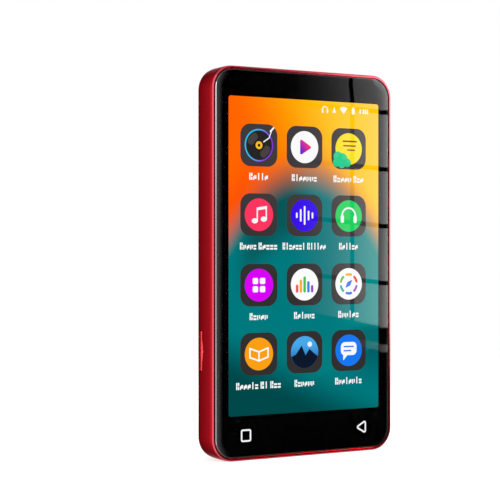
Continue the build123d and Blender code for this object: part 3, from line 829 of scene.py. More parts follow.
def soft_polygon(corners: Sequence[Sequence[float]], r: float, grow: float = 0.0,
                 turn: int = 6) -> Outline:
    """Convex polygon, moved outwards by grow, with corners rounded to radius r.

    Each corner moves along the sum of its sides' outward normals, and becomes an arc between those normals.

    Args:
        corners: anticlockwise corners.
        r: corner radius.
        grow: how far the sides move outwards.
        turn: steps in each corner.

    Returns:
        Points by 2 array.
    """
    p = np.array(corners, dtype=float)
    side = np.roll(p, -1, axis=0) - p
    out = np.stack([side[:, 1], -side[:, 0]], axis=-1) / np.linalg.norm(side, axis=1)[:, None]
    before = np.roll(out, 1, axis=0)
    bisect = (out + before) / (1 + (out * before).sum(axis=1))[:, None]
    centre = p + bisect * (grow - r)
    start = np.arctan2(before[:, 1], before[:, 0])
    sweep = (np.arctan2(out[:, 1], out[:, 0]) - start) % (2 * math.pi)
    angle = start[:, None] + sweep[:, None] * np.linspace(0.0, 1.0, turn + 1)
    return (centre[:, None, :] + r * around(angle)).reshape(-1, 2)


def dress(piece: bpy.types.Object, finish: Finish, body: str = CASE) -> bpy.types.Object:
    """Give a piece its finish and the body that it rides on.

    Args:
        piece: the new piece.
        finish: its finish.
        body: the body that carries it.

    Returns:
        The same piece.
    """
    piece.data.materials.clear()
    piece.data.materials.append(finish.make())
    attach(piece, body)
    LOG.info("%s: %d faces", piece.name, len(piece.data.polygons))
    return piece


# ---------------------------------------------------------------- the player
@dataclass
class Case:
    """Band, back, keys and everything carried over from the frame, each with its finish."""

    def dress_nodes(self) -> None:
        """Give every carried-over node the finish of its slot."""
        slots = {part["node"]: part["material_slot"] for part in frame["record"]["subparts"]}
        for name, node in frame["nodes"].items():
            node.data.materials.clear()
            node.data.materials.append(NODE_FINISHES[slots[name]].make())


@dataclass
class CardPull:
    """Red finger pull on the outer end of the memory card, a rounded bar just inside the slot's mouth.

    Attributes:
        thick: its thickness.
        tall: its height.
        depth: its middle, from front to back.
        outer: x of its outermost point.
        inner: x of the face against the card.
        corner: corner radius seen from the side.
        end_inset: how far its outer end narrows on every side.
        end_run: length over which it narrows.
    """

    thick: float = 1.4
    tall: float = 11.4
    depth: float = 2.15
    outer: float = -29.55
    inner: float = -28.16
    corner: float = 0.5
    end_inset: float = 0.42
    end_run: float = 0.5

    def make(self) -> None:
        """Build the bar: its end rounds over along a quarter of a flat ellipse."""
        low, high = (np.array(v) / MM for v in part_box("memory_card"))
        middle = (high[2] + low[2]) / 2
        angle = np.linspace(0.0, math.pi / 2, 9)
        inset = self.end_inset * (1 - np.cos(angle))
        along = self.outer + self.end_run * (1 - np.sin(angle))
        profile = np.vstack([[0.0, self.inner], np.column_stack([inset, along])])
        rings = inset_rings(profile, self.thick, self.tall, self.corner, middle)
        bar = carried("memory_card_pull", rings, turn=8, facing=Facing.LEFT, across=self.depth)
        dress(bar, RED_PULL, "memory_card")


@dataclass
class CoverGlass:
    """Glass with rounded-over edges, the bevel round it, and the black print just under its skin.

    Attributes:
        gap: clear joint between the glass and the band.
        rim: width of the polished bevel round the edge.
        fall_run: width over which the front face curves down to the rim.
        fall: how far it curves down.
        back: depth of the back face.
        rim_gap: hair's breadth between the glass and its rim.
        rim_back: depth of the rim's back.
        rim_drop: how far the rim's outer edge stands behind its inner edge.
        rim_round: width of each of the rim's two softened edges.
        rim_soft: how far the softened outer and inner edges change in depth.
        print_depth: how far the print lies under the front face.
        print_inset: how far the print's edge lies inside the glass.
        print_back: depth of the print's back.
        window: width, height and corner of the print's window.
        window_wall: depth of the window's wall.
        corner: corner radius of the glass.
    """

    gap: float = 0.1
    rim: float = 0.3
    fall_run: float = 1.85
    fall: float = 0.37
    back: float = -4.412
    rim_gap: float = 0.004
    rim_back: float = -4.452
    rim_drop: float = 0.245
    rim_round: float = 0.015
    rim_soft: tuple[float, float] = (0.023, 0.008)
    print_depth: float = 0.035
    print_inset: float = 0.02
    print_back: float = -4.46
    window: tuple[float, float, float] = (50.15, 88.9, 0.9)
    window_wall: float = 0.12
    corner: float = 5.5

    def front_profile(self, top: float, steps: int = 16) -> np.ndarray:
        """Insets and depths of the curved front edge, an arc of a circle that meets the flat face smoothly.

        Args:
            top: depth of the flat front face.
            steps: number of points along the arc.

        Returns:
            Points by 2 array, from the rim inwards.
        """
        radius = (self.fall_run**2 + self.fall**2) / (2 * self.fall)
        angle = np.linspace(math.asin(self.fall_run / radius), 0.0, steps)
        inset = self.rim + self.fall_run - radius * np.sin(angle)
        return np.column_stack([inset, top + radius * (1 - np.cos(angle))])

    def make(self) -> None:
        """Build the glass, its rim and the print in place of the plain glass node."""
        low, high = (np.array(v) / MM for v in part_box("cover_glass"))
        top, middle = low[1], (high[2] + low[2]) / 2
        size = (high[0] - low[0] - 2 * self.gap, high[2] - low[2] - 2 * self.gap, self.corner, middle)
        front = self.front_profile(top)
        edge = front[0, 1]
        body = np.vstack([[front[0, 0], self.back], front]) + [self.rim_gap, 0.0]
        glass = carried("cover_glass_curved", inset_rings(body, *size))
        rim = np.array([
            [0.0, self.rim_back],
            [0.0, edge + self.rim_drop],
            [self.rim_round, edge + self.rim_drop - self.rim_soft[0]],
            [self.rim - self.rim_round, edge + self.rim_soft[1]],
            [self.rim, edge],
            [self.rim, self.rim_back],
        ])
        ring = carried("cover_glass_rim", inset_rings(rim, *size), loop=True)
        under = front + [self.print_inset, self.print_depth]
        rings = inset_rings(np.vstack([[under[0, 0], self.print_back], under]), *size)
        rings += [(*self.window, under[-1, 1] + step, PICTURE_MIDDLE) for step in (0.0, self.window_wall)]
        border = carried("cover_glass_print", rings, loop=True)
        dress(glass, GLASS)
        dress(ring, GLASS_RIM)
        dress(border, GLOSS_BLACK)
        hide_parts("cover_glass")


@dataclass
class Screen:
    """The lit picture: its background, the margin round it, and the two key marks below it.

    Each layer is a thin plate just under the skin of the glass, the nearer ones in front.

    Attributes:
        width: lit width.
        height: lit height.
        corner: corner radius of the lit part.
        middle: height of its middle.
        margin: width, height and corner of the black margin behind it.
        margin_depths: front and back depth of the margin.
        foot: depth of the background's back.
        layer: thickness of a layer.
        layer_gap: clear space between two layers.
        key_depths: front and back depth of the key marks.
        key_line: half the width of a key mark's line.
        key_corner: corner radius along the middle of that line.
    """

    width: float = 49.81
    height: float = 88.55
    corner: float = 0.7
    middle: float = PICTURE_MIDDLE
    margin: tuple[float, float, float] = (50.13, 88.88, 0.9)
    margin_depths: tuple[float, float] = (-5.164, -5.15)
    foot: float = -5.166
    layer: float = 0.006
    layer_gap: float = 0.0015
    key_depths: tuple[float, float] = (-5.224, -5.217)
    key_line: float = 0.23
    key_corner: float = 0.35

    def depth(self, level: int) -> tuple[float, float]:
        """Front and back depth of a layer; level 0 is the background."""
        back = self.foot - level * (self.layer + self.layer_gap)
        return back - self.layer, back

    def plate(self, name: str, outlines: Sequence[Outline], level: int) -> bpy.types.Object:
        """Thin plates in one layer.

        Args:
            name: the piece's name.
            outlines: its outlines, about the screen's middle.
            level: its layer.

        Returns:
            The new piece.
        """
        moved = [shift(outline, 0.0, self.middle) for outline in outlines]
        return plates("screen_" + name, moved, *self.depth(level))

    def lit(self, name: str, outlines: Sequence[Outline], level: int, colour: Colour) -> None:
        """One lit piece of the picture.

        Args:
            name: the piece's name.
            outlines: its outlines, about the screen's middle.
            level: its layer.
            colour: linear colour.
        """
        dress(self.plate(name, outlines, level), Lit("lit_" + name, colour))

    def blend(self, name: str, outlines: Sequence[Outline], level: int, first: Colour, second: Colour,
              line: tuple[float, float, float, float]) -> None:
        """One lit piece whose colour runs from one tone to another.

        Args:
            name: the piece's name.
            outlines: its outlines, about the screen's middle.
            level: its layer.
            first: tone at the line's start.
            second: tone at the line's end.
            line: x and z of the start and of the end, about the screen's middle.
        """
        start, end = (line[0], line[1] + self.middle), (line[2], line[3] + self.middle)
        finish = LitBlend("lit_" + name, first, other=second, start_at=start, end_at=end)
        dress(self.plate(name, outlines, level), finish)

    def sheet(self) -> None:
        """The black margin and the background."""
        width, height, corner = self.margin
        margin = shift(rounded_outline(width, height, corner, 6), 0.0, self.middle)
        dress(plates("screen_margin", [margin], *self.margin_depths), GLOSS_BLACK)
        background = self.plate("background", [rounded_outline(self.width, self.height, self.corner, 6)], 0)
        dress(background, Wallpaper("lit_background", (0.0, 0.1, 0.1)))

    def key_marks(self) -> None:
        """The two printed key marks on the black border: a rounded square and a triangle, both in outline."""
        square = ((1.4, -1.5), (1.4, 1.5), (-1.4, 1.5), (-1.4, -1.5))
        pointer = ((17.25, -49.7), (20.3, -51.45), (20.3, -47.95))
        pairs = [
            tuple(shift(soft_polygon(shape, self.key_corner + grow, grow), x, z)
                  for grow in (self.key_line, -self.key_line))
            for shape, x, z in ((square, -19.43, self.middle - 49.74), (pointer, 0.0, self.middle))
        ]
        piece = hoops("key_marks", pairs, *self.key_depths)
        dress(piece, Lit("lit_key_marks", srgb(244, 244, 246), power=1.1))


@dataclass(frozen=True)
class Spot:
    """Where one icon stands, and how its pieces' names begin.

    Attributes:
        name: start of its pieces' names.
        x: its middle.
        z: its middle, from the screen's middle.
    """

    name: str
    x: float
    z: float

    def at(self, *outlines: Outline) -> list[Outline]:
        """Outlines drawn about the icon's own middle, moved to where it stands."""
        return [shift(outline, self.x, self.z) for outline in outlines]

    def line(self, x0: float, z0: float, x1: float, z1: float) -> tuple[float, float, float, float]:
        """A line given about the icon's own middle, moved to where it stands."""
        return self.x + x0, self.z + z0, self.x + x1, self.z + z1


@dataclass
class Icons:
    """Twelve app icons: a dark rounded tile, a coloured disc on it and a generic mark on the disc.

    Attributes:
        screen: the screen that they stand on.
        columns: x of each column of icons.
        rows: z of each row of icons, from the screen's middle.
        tile: side of an icon's tile.
        tile_corner: corner radius of a tile.
        disc: radius of an icon's disc.
    """

    screen: Screen
    columns: tuple[float, ...] = (-15.29, -0.38, 14.56)
    rows: tuple[float, ...] = (30.87, 11.5, -8.1, -27.3)
    tile: float = 11.85
    tile_corner: float = 3.1
    disc: float = 4.55

    def make(self) -> None:
        """Build the tiles, lighter towards the upper right in a painted reflection, and then the icons row by
        row.
        """
        centres = [(x, z) for z in self.rows for x in self.columns]
        outline = rounded_outline(self.tile, self.tile, self.tile_corner, 8)
        tiles = [shift(outline, x, z) for x, z in centres]
        # Painted reflection: the tiles run from darker at the lower left of the screen to lighter at the
        # upper right.
        self.screen.blend("tiles", tiles, 1, srgb(48, 46, 46), srgb(62, 57, 58), (4.0, -20.0, 18.0, 8.0))
        icons = (self.record, self.play, self.note_page, self.quaver, self.sound, self.headphones,
                 self.squares, self.levels, self.wheel, self.book, self.hills, self.bubble)
        for index, (icon, (x, z)) in enumerate(zip(icons, centres)):
            icon(Spot(f"icon{index + 1:02d}", x, z))

    def put(self, spot: Spot, part: str, outlines: Sequence[Outline], level: int,
            colour: Colour = srgb(250, 250, 250)) -> None:
        """One part of an icon.

        Args:
            spot: where the icon stands.
            part: the part's name.
            outlines: its outlines, about the icon's own middle.
            level: its layer.
            colour: linear colour, white if none is given.
        """
        self.screen.lit(f"{spot.name}_{part}", spot.at(*outlines), level, colour)

    def backing(self, spot: Spot, colour: Colour, count: int = 48) -> None:
        """The disc behind an icon's mark."""
        self.put(spot, "disc", [disc_outline(self.disc, count)], 2, colour)

    def record(self, spot: Spot) -> None:
        """A record with an arm: bright edge, black face with two sheens, grooves and a yellow label.

        Args:
            spot: where the icon stands.
        """
        edge = spot.at(disc_outline(self.disc, 64))
        self.screen.blend(spot.name + "_edge", edge, 2, srgb(40, 190, 240), srgb(130, 50, 220),
                          spot.line(-3.4, 1.0, 3.4, -1.0))
        self.put(spot, "record", [disc_outline(4.15, 64)], 3, srgb(34, 32, 34))
        shine = [band_outline(2.75, 2.2, start, start + 34, 12) for start in (122, 302)]
        self.put(spot, "shine", shine, 4, srgb(72, 68, 68))
        grooves = [band_outline(radius, 0.1, 0, 350, 48) for radius in (1.9, 2.5, 3.1, 3.7)]
        self.put(spot, "grooves", grooves, 5, srgb(56, 52, 54))
        self.put(spot, "label", [disc_outline(1.1)], 5, srgb(248, 190, 40))
        self.put(spot, "hole", [disc_outline(0.42)], 6, srgb(20, 16, 20))
        arm = [
            stroke_outline(1.5, 1.0, 3.2, 2.1, 0.32),
            stroke_outline(3.2, 2.1, 4.0, 4.0, 0.28),
            stroke_outline(3.7, 4.0, 4.7, 5.0, 0.5),
        ]
        self.put(spot, "arm", arm, 6)

    def play(self, spot: Spot) -> None:
        """A play mark that runs from violet to pink.

        Args:
            spot: where the icon stands.
        """
        self.backing(spot, srgb(250, 250, 250), 64)
        arrow = spot.at(soft_polygon(((-1.5, -2.4), (2.5, 0.0), (-1.5, 2.4)), 0.4))
        self.screen.blend(spot.name + "_mark", arrow, 3, srgb(90, 30, 200), srgb(240, 50, 110),
                          spot.line(-1.6, -1.6, 1.8, 1.2))

    def note_page(self, spot: Spot) -> None:
        """A note page with three lines and a small green cloud at its corner.

        Args:
            spot: where the icon stands.
        """
        self.backing(spot, srgb(250, 226, 30), 64)
        lines = [
            stroke_outline(-1.9, 2.2, 2.6, 2.2, 0.45),
            stroke_outline(-1.7, 0.9, 2.3, 0.9, 0.4),
            stroke_outline(-0.4, -0.3, 2.0, -0.3, 0.38),
        ]
        self.put(spot, "lines", lines, 3, srgb(140, 50, 70))
        puffs = ((1.5, -3.7, -2.3), (1.75, -2.2, -3.0), (1.25, -0.5, -4.0), (1.2, -4.2, -4.0),
                 (1.4, -2.4, -4.2))
        cloud = [shift(disc_outline(radius, 32), x, z) for radius, x, z in puffs]
        self.put(spot, "cloud", cloud, 4, srgb(46, 206, 142))

    def quaver(self, spot: Spot) -> None:
        """Two joined notes.

        Args:
            spot: where the icon stands.
        """
        self.backing(spot, srgb(252, 54, 96))
        head = disc_outline(0.85) * [1.15, 0.85]
        note = [
            shift(head, -1.35, -1.7),
            shift(head, 1.55, -1.2),
            stroke_outline(-0.55, -1.7, -0.55, 1.7, 0.4),
            stroke_outline(2.35, -1.2, 2.35, 2.2, 0.4),
            np.array([[-0.75, 1.2], [2.55, 1.7], [2.55, 2.5], [-0.75, 2.0]]),
        ]
        self.put(spot, "note", note, 3)

    def sound(self, spot: Spot) -> None:
        """Five upright bars about the middle line.

        Args:
            spot: where the icon stands.
        """
        self.backing(spot, srgb(58, 16, 232))
        reach = ((-2.6, 0.5), (-1.3, 1.5), (0.0, 2.4), (1.3, 1.1), (2.6, 0.6))
        self.put(spot, "bars", [stroke_outline(x, -half, x, half, 0.55) for x, half in reach], 3)

    def headphones(self, spot: Spot) -> None:
        """Headphones: a headband and two pads.

        Args:
            spot: where the icon stands.
        """
        self.backing(spot, srgb(30, 210, 96))
        pads = [stroke_outline(x, -1.5, x, -0.3, 1.1) for x in (-2.2, 2.2)]
        self.put(spot, "phones", [band_outline(2.3, 0.5, 0, 180), *pads], 3)

    def squares(self, spot: Spot) -> None:
        """Four rounded squares.

        Args:
            spot: where the icon stands.
        """
        self.backing(spot, srgb(216, 4, 246))
        tile = rounded_outline(1.7, 1.7, 0.4, 4)
        tiles = [shift(tile, x, z) for x in (-1.15, 1.15) for z in (-1.15, 1.15)]
        self.put(spot, "squares", tiles, 3)

    def levels(self, spot: Spot) -> None:
        """Five level bars in five tones, on one foot line.

        Args:
            spot: where the icon stands.
        """
        self.backing(spot, srgb(250, 250, 250))
        tones = (srgb(240, 84, 70), srgb(250, 170, 40), srgb(70, 190, 90), srgb(60, 130, 220),
                 srgb(150, 70, 200))
        for k, (tone, top) in enumerate(zip(tones, (-0.4, 1.0, 1.9, 0.5, -0.6))):
            x = (k - 2) * 1.25
            self.put(spot, f"level{k + 1}", [stroke_outline(x, -1.9, x, top, 0.85)], 3, tone)

    def wheel(self, spot: Spot) -> None:
        """A colour wheel of six arcs with a pointer.

        Args:
            spot: where the icon stands.
        """
        self.backing(spot, srgb(250, 250, 250), 64)
        tones = (srgb(236, 84, 60), srgb(246, 176, 40), srgb(120, 196, 70), srgb(40, 176, 170),
                 srgb(66, 120, 232), srgb(160, 80, 200))
        for k, tone in enumerate(tones):
            arc = band_outline(2.75, 0.75, 60 * k + 14, 60 * k + 46, 10)
            self.put(spot, f"tone{k + 1}", [arc], 3, tone)
        pointer = soft_polygon(((-1.2, -1.2), (0.5, -0.5), (1.2, 1.2), (-0.5, 0.5)), 0.1)
        self.put(spot, "pointer", [pointer], 3, srgb(66, 120, 232))

    def book(self, spot: Spot) -> None:
        """An open book in outline.

        Args:
            spot: where the icon stands.
        """
        self.backing(spot, srgb(248, 158, 18))
        ends = (
            (0.0, -1.9, -2.9, -0.9),
            (0.0, -1.9, 2.9, -0.9),
            (-2.9, -0.9, -2.9, 1.6),
            (2.9, -0.9, 2.9, 1.6),
            (-2.9, 1.6, 0.0, 0.6),
            (2.9, 1.6, 0.0, 0.6),
            (0.0, -1.9, 0.0, 0.6),
        )
        self.put(spot, "book", [stroke_outline(*line, 0.45) for line in ends], 3)

    def hills(self, spot: Spot) -> None:
        """Night hills under a moon.

        Args:
            spot: where the icon stands.
        """
        sky = spot.at(disc_outline(self.disc, 64))
        self.screen.blend(spot.name + "_disc", sky, 2, srgb(30, 96, 176), srgb(70, 164, 226),
                          spot.line(0.0, -3.5, 0.0, 3.0))
        ground = (self.disc - 0.02) * around(np.linspace(math.radians(196), math.radians(344), 24))
        ridge = np.array([[3.0, -0.3], [1.6, 0.9], [0.3, -0.9], [-1.0, 1.9], [-2.9, -0.6]])
        self.put(spot, "hills", [np.concatenate([ground, ridge])], 3, srgb(14, 24, 44))
        self.put(spot, "moon", [shift(disc_outline(0.75), 1.7, 2.2)], 3, srgb(232, 240, 246))

    def bubble(self, spot: Spot) -> None:
        """A speech bubble with two lines in it.

        Args:
            spot: where the icon stands.
        """
        blue = srgb(24, 119, 242)
        self.backing(spot, blue)
        tail = np.array([[-1.9, -1.0], [-0.3, -1.2], [-1.9, -2.9]])
        self.put(spot, "bubble", [shift(rounded_outline(5.4, 3.8, 1.3, 6), 0.0, 0.5), tail], 3)
        lines = [stroke_outline(-1.6, 1.1, 1.6, 1.1, 0.4), stroke_outline(-1.6, -0.1, 0.7, -0.1, 0.4)]
        self.put(spot, "lines", lines, 4, blue)


class Mark(Enum):
    """Kinds of small mark in a caption."""

    CLUSTER = 0
    STEMS = 1
    BARS = 2
    STEM = 3
    STEP = 4


@dataclass
class Captions:
    """Rows of small stems and blocks that stand for the icons' captions; they spell nothing.

    Attributes:
        icons: the icons that they stand under.
        words: widths of the words in each caption.
        drop: how far their foot line lies below an icon's middle.
        space: width between words.
        cell: usual width of one mark and the space after it.
        gap: the space after a mark.
        stem: width of an upright.
        low: height of a short mark.
        tall: height of a tall mark.
    """

    icons: Icons
    words: tuple[tuple[float, ...], ...] = (
        (6.2,), (8.5,), (6.3, 3.6), (5.4, 6.2), (7.6, 6.4), (6.6,), (6.0,), (7.0,), (7.2,),
        (7.2, 2.6, 3.6), (6.7,), (9.3,),
    )
    drop: float = 9.7
    space: float = 0.55
    cell: float = 1.16
    gap: float = 0.22
    stem: float = 0.36
    low: float = 1.3
    tall: float = 1.95

    def make(self) -> None:
        """Build all captions as one piece; a word starts with a cluster and goes on with drawn marks."""
        rng = np.random.default_rng(7)
        marks: list[Outline] = []
        for index, words in enumerate(self.words):
            row, column = divmod(index, len(self.icons.columns))
            foot = self.icons.rows[row] - self.drop
            pen = self.icons.columns[column] - (sum(words) + self.space * (len(words) - 1)) / 2
            for word in words:
                count = max(2, round(word / self.cell))
                cell = word / count
                for place in range(count):
                    kind = Mark.CLUSTER if place == 0 else Mark(int(rng.integers(1, 5)))
                    marks += [shift(m, pen + place * cell, foot) for m in self.mark(kind, cell - self.gap)]
                pen += word + self.space
        self.icons.screen.lit("captions", marks, 2, srgb(248, 250, 250))

    def mark(self, kind: Mark, wide: float) -> list[Outline]:
        """One small mark, its foot on the line.

        Args:
            kind: which of the five.
            wide: its width.

        Returns:
            Its outlines.
        """
        stem, low, tall = self.stem, self.low, self.tall
        if kind is Mark.CLUSTER:
            return [block_outline(0, 0, stem, tall), block_outline(stem + 0.14, 0, wide, 0.8),
                    block_outline(stem + 0.14, 1.05, wide, tall)]
        if kind is Mark.STEMS:
            return [block_outline(0, 0, stem, low), block_outline(wide - stem, 0.3, wide, low)]
        if kind is Mark.BARS:
            return [block_outline(0, 0, wide, 0.5), block_outline(0, 0.8, wide, low)]
        if kind is Mark.STEM:
            return [block_outline(wide / 2 - stem / 2, 0, wide / 2 + stem / 2, tall)]
        return [block_outline(0, 0, stem, low - 0.3), block_outline(stem, 0.35, wide, low)]


@dataclass
class StatusMarks:
    """Small marks along the top of the screen, and four blocks for a clock.

    Attributes:
        screen: the screen that they stand on.
        z: height of their middle line, from the screen's middle.
    """

    screen: Screen
    z: float = 41.9

    def make(self) -> None:
        """Build the marks as one piece: headphones, link, radio fan, battery and clock blocks."""
        fan = np.array([[0.0, -1.0], [1.35, 0.6], [0.75, 0.95], [0.0, 1.08], [-0.75, 0.95], [-1.35, 0.6]])
        pad = rounded_outline(0.55, 1.0, 0.2, 3)
        marks = [
            shift(band_outline(0.85, 0.32, 0, 180, 12), 6.46, self.z),
            shift(pad, 5.65, self.z - 0.5),
            shift(pad, 7.27, self.z - 0.5),
            shift(np.array([[-0.6, -0.8], [0.6, -0.8], [0.0, 0.9]]), 9.58, self.z),
            shift(fan, 12.8, self.z),
            shift(rounded_outline(1.0, 1.75, 0.2, 3), 16.14, self.z - 0.1),
            shift(rounded_outline(0.45, 0.3, 0.1, 3), 16.14, self.z + 0.98),
        ]
        clock = rounded_outline(0.5, 1.35, 0.15, 3)
        marks += [shift(clock, x, self.z) for x in (18.55, 19.65, 20.35, 21.05)]
        self.screen.lit("status_marks", marks, 1, srgb(252, 250, 236))


@dataclass(frozen=True)
class Window:
    """Window to the front right that the glass mirrors, with one upright and evenly spaced bars.

    Sideways and upward slopes of a direction stand for places on it.

    Attributes:
        start: sideways slope where its light begins.
        growth: how fast the light grows to the right.
        full: growth at which it stays the same.
        power: brightness at a growth of one.
        upright: sideways slope of the upright.
        upright_edge: half widths of the upright, dark and clear.
        spacing: upward slope from bar to bar.
        first_bar: upward slope of one bar.
        bar_edge: half widths of a bar, dark and clear, as shares of the spacing.
        top_bar: upward slopes between which the bars end.
        slant_limit: largest sideways slope, from slant_from, up to which bars rise to the right.
        slant_from: sideways slope where the slant is nothing.
        bar_slant: rise of the bars along the slant.
        sill_slant: rise of the sill along the slant.
        sill: upward slopes between which the panes begin.
        ledge: upward slopes of the faint ledge under the sill, its lower and its upper edge.
        ledge_side: sideways slopes between which the ledge begins.
        ledge_share: brightness of the ledge against the panes.
        top: upward slopes between which the window ends.
    """

    start: float = 0.595
    growth: float = 10.4
    full: float = 1.32
    power: float = 3.7
    upright: float = 0.6613
    upright_edge: tuple[float, float] = (0.0017, 0.0027)
    spacing: float = 0.0493
    first_bar: float = 0.0209
    bar_edge: tuple[float, float] = (0.03, 0.05)
    top_bar: tuple[float, float] = (0.155, 0.165)
    slant_limit: float = 0.004
    slant_from: float = 0.6934
    bar_slant: float = 0.09
    sill_slant: float = 0.17
    sill: tuple[float, float] = (-0.0675, -0.0655)
    ledge: tuple[float, ...] = (-0.0885, -0.087, -0.0805, -0.082)
    ledge_side: tuple[float, float] = (0.655, 0.70)
    ledge_share: float = 0.42
    top: tuple[float, float] = (3.0, 1.6)

    def light(self, graph: Graph, u: Term, v: Term) -> bpy.types.NodeSocket:
        """The window's brightness, which grows with the square of the way to the right.

        Args:
            graph: the world's graph.
            u: sideways slope of a direction, to the right.
            v: upward slope of a direction, on the window's scale.

        Returns:
            The brightness in that direction.
        """
        grow = graph.math("MAXIMUM", graph.mul(graph.add(u, -self.start), self.growth), 0.0)
        grow = graph.math("MINIMUM", grow, self.full)
        glow = graph.mul(graph.mul(grow, grow), self.power)
        slant = graph.math("MINIMUM", graph.add(u, -self.slant_from), self.slant_limit)
        panes = self.frame(graph, u, graph.add(v, graph.mul(slant, self.bar_slant)))
        base = graph.add(v, graph.mul(slant, self.sill_slant))
        panes = graph.mul(panes, graph.smooth(base, *self.sill))
        ledge = graph.mul(graph.smooth(base, *self.ledge[:2]), graph.smooth(base, *self.ledge[2:]))
        ledge = graph.mul(ledge, graph.smooth(u, *self.ledge_side))
        lights = graph.add(panes, graph.mul(ledge, self.ledge_share))
        return graph.mul(graph.mul(lights, glow), graph.smooth(v, *self.top))

    def frame(self, graph: Graph, u: Term, level: Term) -> bpy.types.NodeSocket:
        """The window's frame: 0 on the upright and on the bars, 1 between them.

        Args:
            graph: the world's graph.
            u: sideways slope of a direction.
            level: upward slope of a direction along the slanting bars.

        Returns:
            The share of light that the frame lets through.
        """
        upright = graph.smooth(graph.size(graph.add(u, -self.upright)), *self.upright_edge)
        # ten and a half spacings keep the count of bars above zero and put a bar at each half
        count = graph.mul(graph.add(level, 10.5 * self.spacing - self.first_bar), 1.0 / self.spacing)
        apart = graph.size(graph.add(graph.math("FRACT", count), -0.5))
        bars = graph.math("MAXIMUM", graph.smooth(apart, *self.bar_edge), graph.smooth(level, *self.top_bar))
        return graph.mul(upright, bars)


